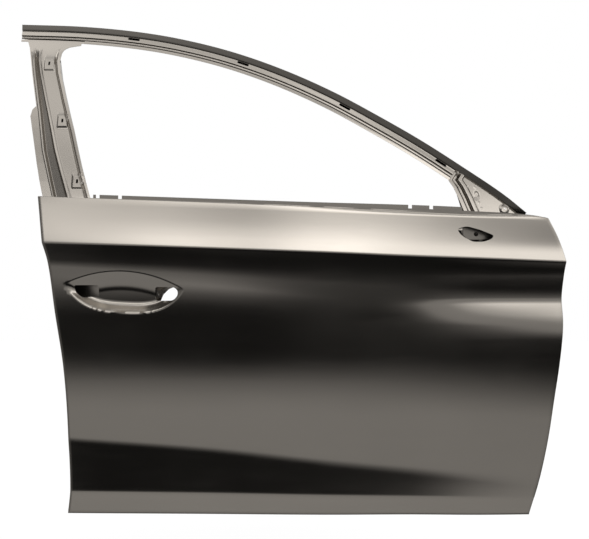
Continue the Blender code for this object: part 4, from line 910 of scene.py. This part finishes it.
def buildDipCoat():
    # baked dip primer: a faint orange peel, cloudy gloss, dust that settles and fine wipe marks
    group = bpy.data.node_groups.new("dipCoatSurface", "ShaderNodeTree")
    groupSocket(group, "Base", "NodeSocketColor", (0.004, 0.004, 0.004, 1.0))
    groupSocket(group, "Gloss", "NodeSocketFloat", 0.25)
    groupSocket(group, "Peel", "NodeSocketFloat", 0.3)
    groupSocket(group, "Color", "NodeSocketColor", out=True)
    groupSocket(group, "Roughness", "NodeSocketFloat", out=True)
    groupSocket(group, "Height", "NodeSocketFloat", out=True)
    nodes, links = group.nodes, group.links
    inputs = nodes.new("NodeGroupInput")
    outputs = nodes.new("NodeGroupOutput")
    coord = nodes.new("ShaderNodeTexCoord")

    def noise(scale, detail, stretch=None):
        texture = nodes.new("ShaderNodeTexNoise")
        texture.inputs["Scale"].default_value = scale
        texture.inputs["Detail"].default_value = detail
        source = coord.outputs["Object"]
        if stretch:
            mapping = nodes.new("ShaderNodeMapping")
            mapping.inputs["Scale"].default_value = stretch
            links.new(source, mapping.inputs["Vector"])
            source = mapping.outputs["Vector"]
        links.new(source, texture.inputs["Vector"])
        return texture.outputs["Fac"]

    cloud = ranged(group, noise(5.0, 4.0), (0.35, 0.68), (-0.01, 0.02))
    wipe = ranged(group, noise(9.0, 3.0, (1.0, 1.0, 7.0)), (0.50, 0.75), (0.0, 0.02))
    specks = ranged(group, noise(420.0, 2.0), (0.72, 0.80), (0.0, 0.06))
    cloudy = calc(group, "ADD", inputs.outputs["Gloss"], cloud)
    rough = calc(group, "ADD", cloudy, calc(group, "ADD", wipe, specks))
    links.new(rough, outputs.inputs["Roughness"])
    dust = ranged(group, noise(3.2, 6.0), (0.50, 0.78), (0.0, 0.0012))
    fine = ranged(group, noise(900.0, 1.0), (0.72, 0.85), (0.0, 0.006))
    tint = nodes.new("ShaderNodeMix")
    tint.data_type = "RGBA"
    tint.inputs["B"].default_value = (0.55, 0.50, 0.44, 1.0)
    links.new(calc(group, "ADD", dust, fine), tint.inputs["Factor"])
    links.new(inputs.outputs["Base"], tint.inputs["A"])
    links.new(tint.outputs["Result"], outputs.inputs["Color"])
    peel = calc(group, "MULTIPLY", noise(260.0, 2.0), inputs.outputs["Peel"])
    wave = calc(group, "MULTIPLY", noise(24.0, 2.0), 0.5)
    links.new(calc(group, "ADD", peel, wave), outputs.inputs["Height"])
    return group


dipCoatSurface = buildDipCoat()
coat = {
    "base": (0.0009, 0.0010, 0.0009, 1.0),
    "gloss": 0.155,
    "ior": 2.90,
    "tint": (1.0, 0.92, 0.82, 1.0),
    "peel": 0.30,
}


def dipCoat(name, base=None, gloss=None, peel=None, bump=0.06):
    material, nodes, links, shader = newMaterial(name)
    surface = nodes.new("ShaderNodeGroup")
    surface.node_tree = dipCoatSurface
    surface.inputs["Base"].default_value = base or coat["base"]
    surface.inputs["Gloss"].default_value = gloss or coat["gloss"]
    surface.inputs["Peel"].default_value = peel or coat["peel"]
    relief = nodes.new("ShaderNodeBump")
    relief.inputs["Strength"].default_value = bump
    relief.inputs["Distance"].default_value = 0.0006
    links.new(surface.outputs["Height"], relief.inputs["Height"])
    links.new(relief.outputs["Normal"], shader.inputs["Normal"])
    links.new(surface.outputs["Color"], shader.inputs["Base Color"])
    links.new(surface.outputs["Roughness"], shader.inputs["Roughness"])
    shader.inputs["IOR"].default_value = coat["ior"]
    shader.inputs["Specular Tint"].default_value = coat["tint"]
    return material


def plainSurface(name, dark, light, scale, roughness, metallic=0.0, bump=0.3):
    # a two-tone noisy surface for nuts, mastic and damping sheet
    material, nodes, links, shader = newMaterial(name)
    coord = nodes.new("ShaderNodeTexCoord")
    texture = nodes.new("ShaderNodeTexNoise")
    texture.inputs["Scale"].default_value = scale
    texture.inputs["Detail"].default_value = 5.0
    links.new(coord.outputs["Object"], texture.inputs["Vector"])
    tone = nodes.new("ShaderNodeMix")
    tone.data_type = "RGBA"
    tone.inputs["A"].default_value = (*dark, 1.0)
    tone.inputs["B"].default_value = (*light, 1.0)
    links.new(texture.outputs["Fac"], tone.inputs["Factor"])
    links.new(tone.outputs["Result"], shader.inputs["Base Color"])
    ends = (roughness - 0.08, roughness + 0.08)
    spread = ranged(material.node_tree, texture.outputs["Fac"], (0.0, 1.0), ends)
    links.new(spread, shader.inputs["Roughness"])
    relief = nodes.new("ShaderNodeBump")
    relief.inputs["Strength"].default_value = bump
    relief.inputs["Distance"].default_value = 0.001
    links.new(texture.outputs["Fac"], relief.inputs["Height"])
    links.new(relief.outputs["Normal"], shader.inputs["Normal"])
    shader.inputs["Metallic"].default_value = metallic
    return material


skinCoat = dipCoat("skinDipCoat")
frameCoat = dipCoat("frameDipCoat", gloss=0.19, bump=0.03)
innerCoat = dipCoat("innerDipCoat", gloss=0.22, bump=0.04)
nutSteel = plainSurface("weldNutSteel", (0.20, 0.20, 0.19), (0.42, 0.41, 0.39), 300.0, 0.45, 0.9)
mastic = plainSurface("bakedMastic", (0.012, 0.012, 0.012), (0.03, 0.03, 0.03), 120.0, 0.85)
damping = plainSurface("dampingSheet", (0.02, 0.02, 0.02), (0.05, 0.048, 0.045), 60.0, 0.80)


def dress(obj, material):
    obj.data.materials.clear()
    obj.data.materials.append(material)


dress(outerSkin, skinCoat)
dress(innerPanel, innerCoat)
for obj in (roofRail, pillarPanel, sailPanel):
    dress(obj, frameCoat)
byNode = {"nut": nutSteel, "mastic": mastic, "damping": damping}
for name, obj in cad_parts.items():
    material = next((value for key, value in byNode.items() if key in name), innerCoat)
    for slot in obj.material_slots:
        slot.material = material
    if not obj.material_slots:
        obj.data.materials.append(material)
print("stage 7: materials")


# Stage, light and camera
studio = {
    # brightness in front of the door by height in degrees
    "front": ((-90, .17), (-55, .15), (-42, .02), (-30, .003), (-16, .004), (-10, .06), (-5, .165),
              (8, .175), (14, .28), (20, .42), (28, .78), (32, 1.0), (36, 1.0), (38, .45), (40, .28),
              (44, .3), (49, .5), (55, .55), (63, .38), (75, .22), (90, .2)),
    # the same for what lies well to the left
    "left": ((-90, .17), (-55, .15), (-42, .05), (-30, .03), (-10, .08), (30, .10), (40, .14),
             (47, .50), (55, .70), (90, .3)),
    "leftFrom": (-0.36, -0.46),
    # how the overhead light varies from left to right, and the heights over which it does
    "stripes": ((-.45, .9), (-.31, .9), (-.245, .85), (-.18, 1.05), (-.113, 1.0), (-.033, .68),
                (.047, 1.35), (.127, 1.35), (.206, .9), (.33, .9)),
    "stripesFrom": (12, 20),
    "frontLevel": 4.0,
    "backLevel": 1.0,
    "backFrom": (-0.05, 0.30),
    "rampTop": 1.4,  # the level that a ramp's white stands for
    "floor": -0.75,
    "floorSize": 9.0,
    "floorGlow": 0.75,
}


def buildWorld():
    world = bpy.data.worlds.new("studio")
    bpy.context.scene.world = world
    world.use_nodes = True
    tree = world.node_tree
    nodes, links = tree.nodes, tree.links
    nodes.clear()
    coord = nodes.new("ShaderNodeTexCoord")
    split = nodes.new("ShaderNodeSeparateXYZ")
    links.new(coord.outputs["Generated"], split.inputs["Vector"])

    lift = calc(tree, "ARCSINE", split.outputs["Z"])
    factor = calc(tree, "ADD", calc(tree, "DIVIDE", lift, math.pi), 0.5)
    top = studio["rampTop"]

    def curve(value, points, low, high):
        ramp = nodes.new("ShaderNodeValToRGB")
        stops = ramp.color_ramp.elements
        for number, (angle, level) in enumerate(points):
            at = (angle - low) / (high - low)
            stop = stops[number] if number < 2 else stops.new(at)
            stop.position = at
            stop.color = (level / top, level / top, level / top, 1.0)
        links.new(value, ramp.inputs["Fac"])
        return ramp.outputs["Color"]

    def smoothStep(value, ends):
        return ranged(tree, value, ends, kind="SMOOTHSTEP")

    steep = calc(tree, "MULTIPLY", split.outputs["Z"], split.outputs["Z"])
    flat = calc(tree, "SQRT", calc(tree, "SUBTRACT", 1.0, steep))
    sideways = calc(tree, "DIVIDE", split.outputs["X"], calc(tree, "MAXIMUM", flat, 0.01))
    sides = nodes.new("ShaderNodeMix")
    links.new(smoothStep(sideways, studio["leftFrom"]), sides.inputs["Factor"])
    links.new(curve(factor, studio["front"], -90, 90), sides.inputs["A"])
    links.new(curve(factor, studio["left"], -90, 90), sides.inputs["B"])
    bands = curve(calc(tree, "ADD", sideways, 0.5), studio["stripes"], -0.5, 0.5)
    stripes = calc(tree, "MULTIPLY", bands, top)
    degrees = calc(tree, "MULTIPLY", lift, 180 / math.pi)
    above = smoothStep(degrees, studio["stripesFrom"])
    uneven = calc(tree, "MULTIPLY", calc(tree, "SUBTRACT", stripes, 1.0), above)
    front = calc(tree, "MULTIPLY", sides.outputs["Result"], calc(tree, "ADD", 1.0, uneven))
    frontLevel = calc(tree, "MULTIPLY", front, top * studio["frontLevel"])
    level = nodes.new("ShaderNodeMix")
    level.inputs["B"].default_value = studio["backLevel"]
    behind = smoothStep(split.outputs["Y"], studio["backFrom"])
    links.new(behind, level.inputs["Factor"])
    links.new(frontLevel, level.inputs["A"])
    lit = nodes.new("ShaderNodeBackground")
    links.new(level.outputs["Result"], lit.inputs["Strength"])
    lit.inputs["Color"].default_value = (1.0, 1.0, 1.0, 1.0)
    white = nodes.new("ShaderNodeBackground")
    white.inputs["Color"].default_value = (1.0, 1.0, 1.0, 1.0)
    path = nodes.new("ShaderNodeLightPath")
    # gloss shows the white backdrop behind the door and the studio in front of it
    seen = calc(tree, "MAXIMUM", path.outputs["Is Camera Ray"], path.outputs["Is Transmission Ray"])
    seen = calc(tree, "MAXIMUM", seen, calc(tree, "MULTIPLY", path.outputs["Is Glossy Ray"], behind))
    mix = nodes.new("ShaderNodeMixShader")
    links.new(seen, mix.inputs["Fac"])
    links.new(lit.outputs["Background"], mix.inputs[1])
    links.new(white.outputs["Background"], mix.inputs[2])
    out = nodes.new("ShaderNodeOutputWorld")
    links.new(mix.outputs["Shader"], out.inputs["Surface"])


def buildStage():
    material, nodes, links, shader = newMaterial("paleFloor")
    shader.inputs["Base Color"].default_value = (0.85, 0.85, 0.85, 1.0)
    shader.inputs["Roughness"].default_value = 0.9
    glow = nodes.new("ShaderNodeEmission")
    path = nodes.new("ShaderNodeLightPath")
    tree = material.node_tree
    seen = calc(tree, "MAXIMUM", path.outputs["Is Camera Ray"], path.outputs["Is Transmission Ray"])
    seen = calc(tree, "MAXIMUM", seen, path.outputs["Is Glossy Ray"])
    keepShadow = calc(tree, "MULTIPLY", seen, studio["floorGlow"])
    mix = nodes.new("ShaderNodeMixShader")
    links.new(keepShadow, mix.inputs["Fac"])
    links.new(shader.outputs["BSDF"], mix.inputs[1])
    links.new(glow.outputs["Emission"], mix.inputs[2])
    links.new(mix.outputs["Shader"], nodes["Material Output"].inputs["Surface"])
    deselectAll()
    bpy.ops.mesh.primitive_plane_add(size=studio["floorSize"], location=(-0.5, 4.8, studio["floor"]))
    floor = bpy.context.object
    floor.name = "floor"
    floor.data.materials.append(material)


shot = {
    "place": (-0.555, -2.280, 0.064),
    "lens": 62.56,
    "sensor": 36.0,
    "nearest": 0.05,
}
buildWorld()
buildStage()
camera = bpy.data.objects.new("camera", bpy.data.cameras.new("camera"))
bpy.context.collection.objects.link(camera)
camera.location = shot["place"]
camera.rotation_euler = (math.radians(90), 0.0, 0.0)
camera.data.sensor_width = shot["sensor"]
camera.data.lens = shot["lens"]
camera.data.clip_start = shot["nearest"]
bpy.context.scene.camera = camera
bpy.context.scene.view_settings.view_transform = "Standard"

print("stage 8: stage, light and camera")
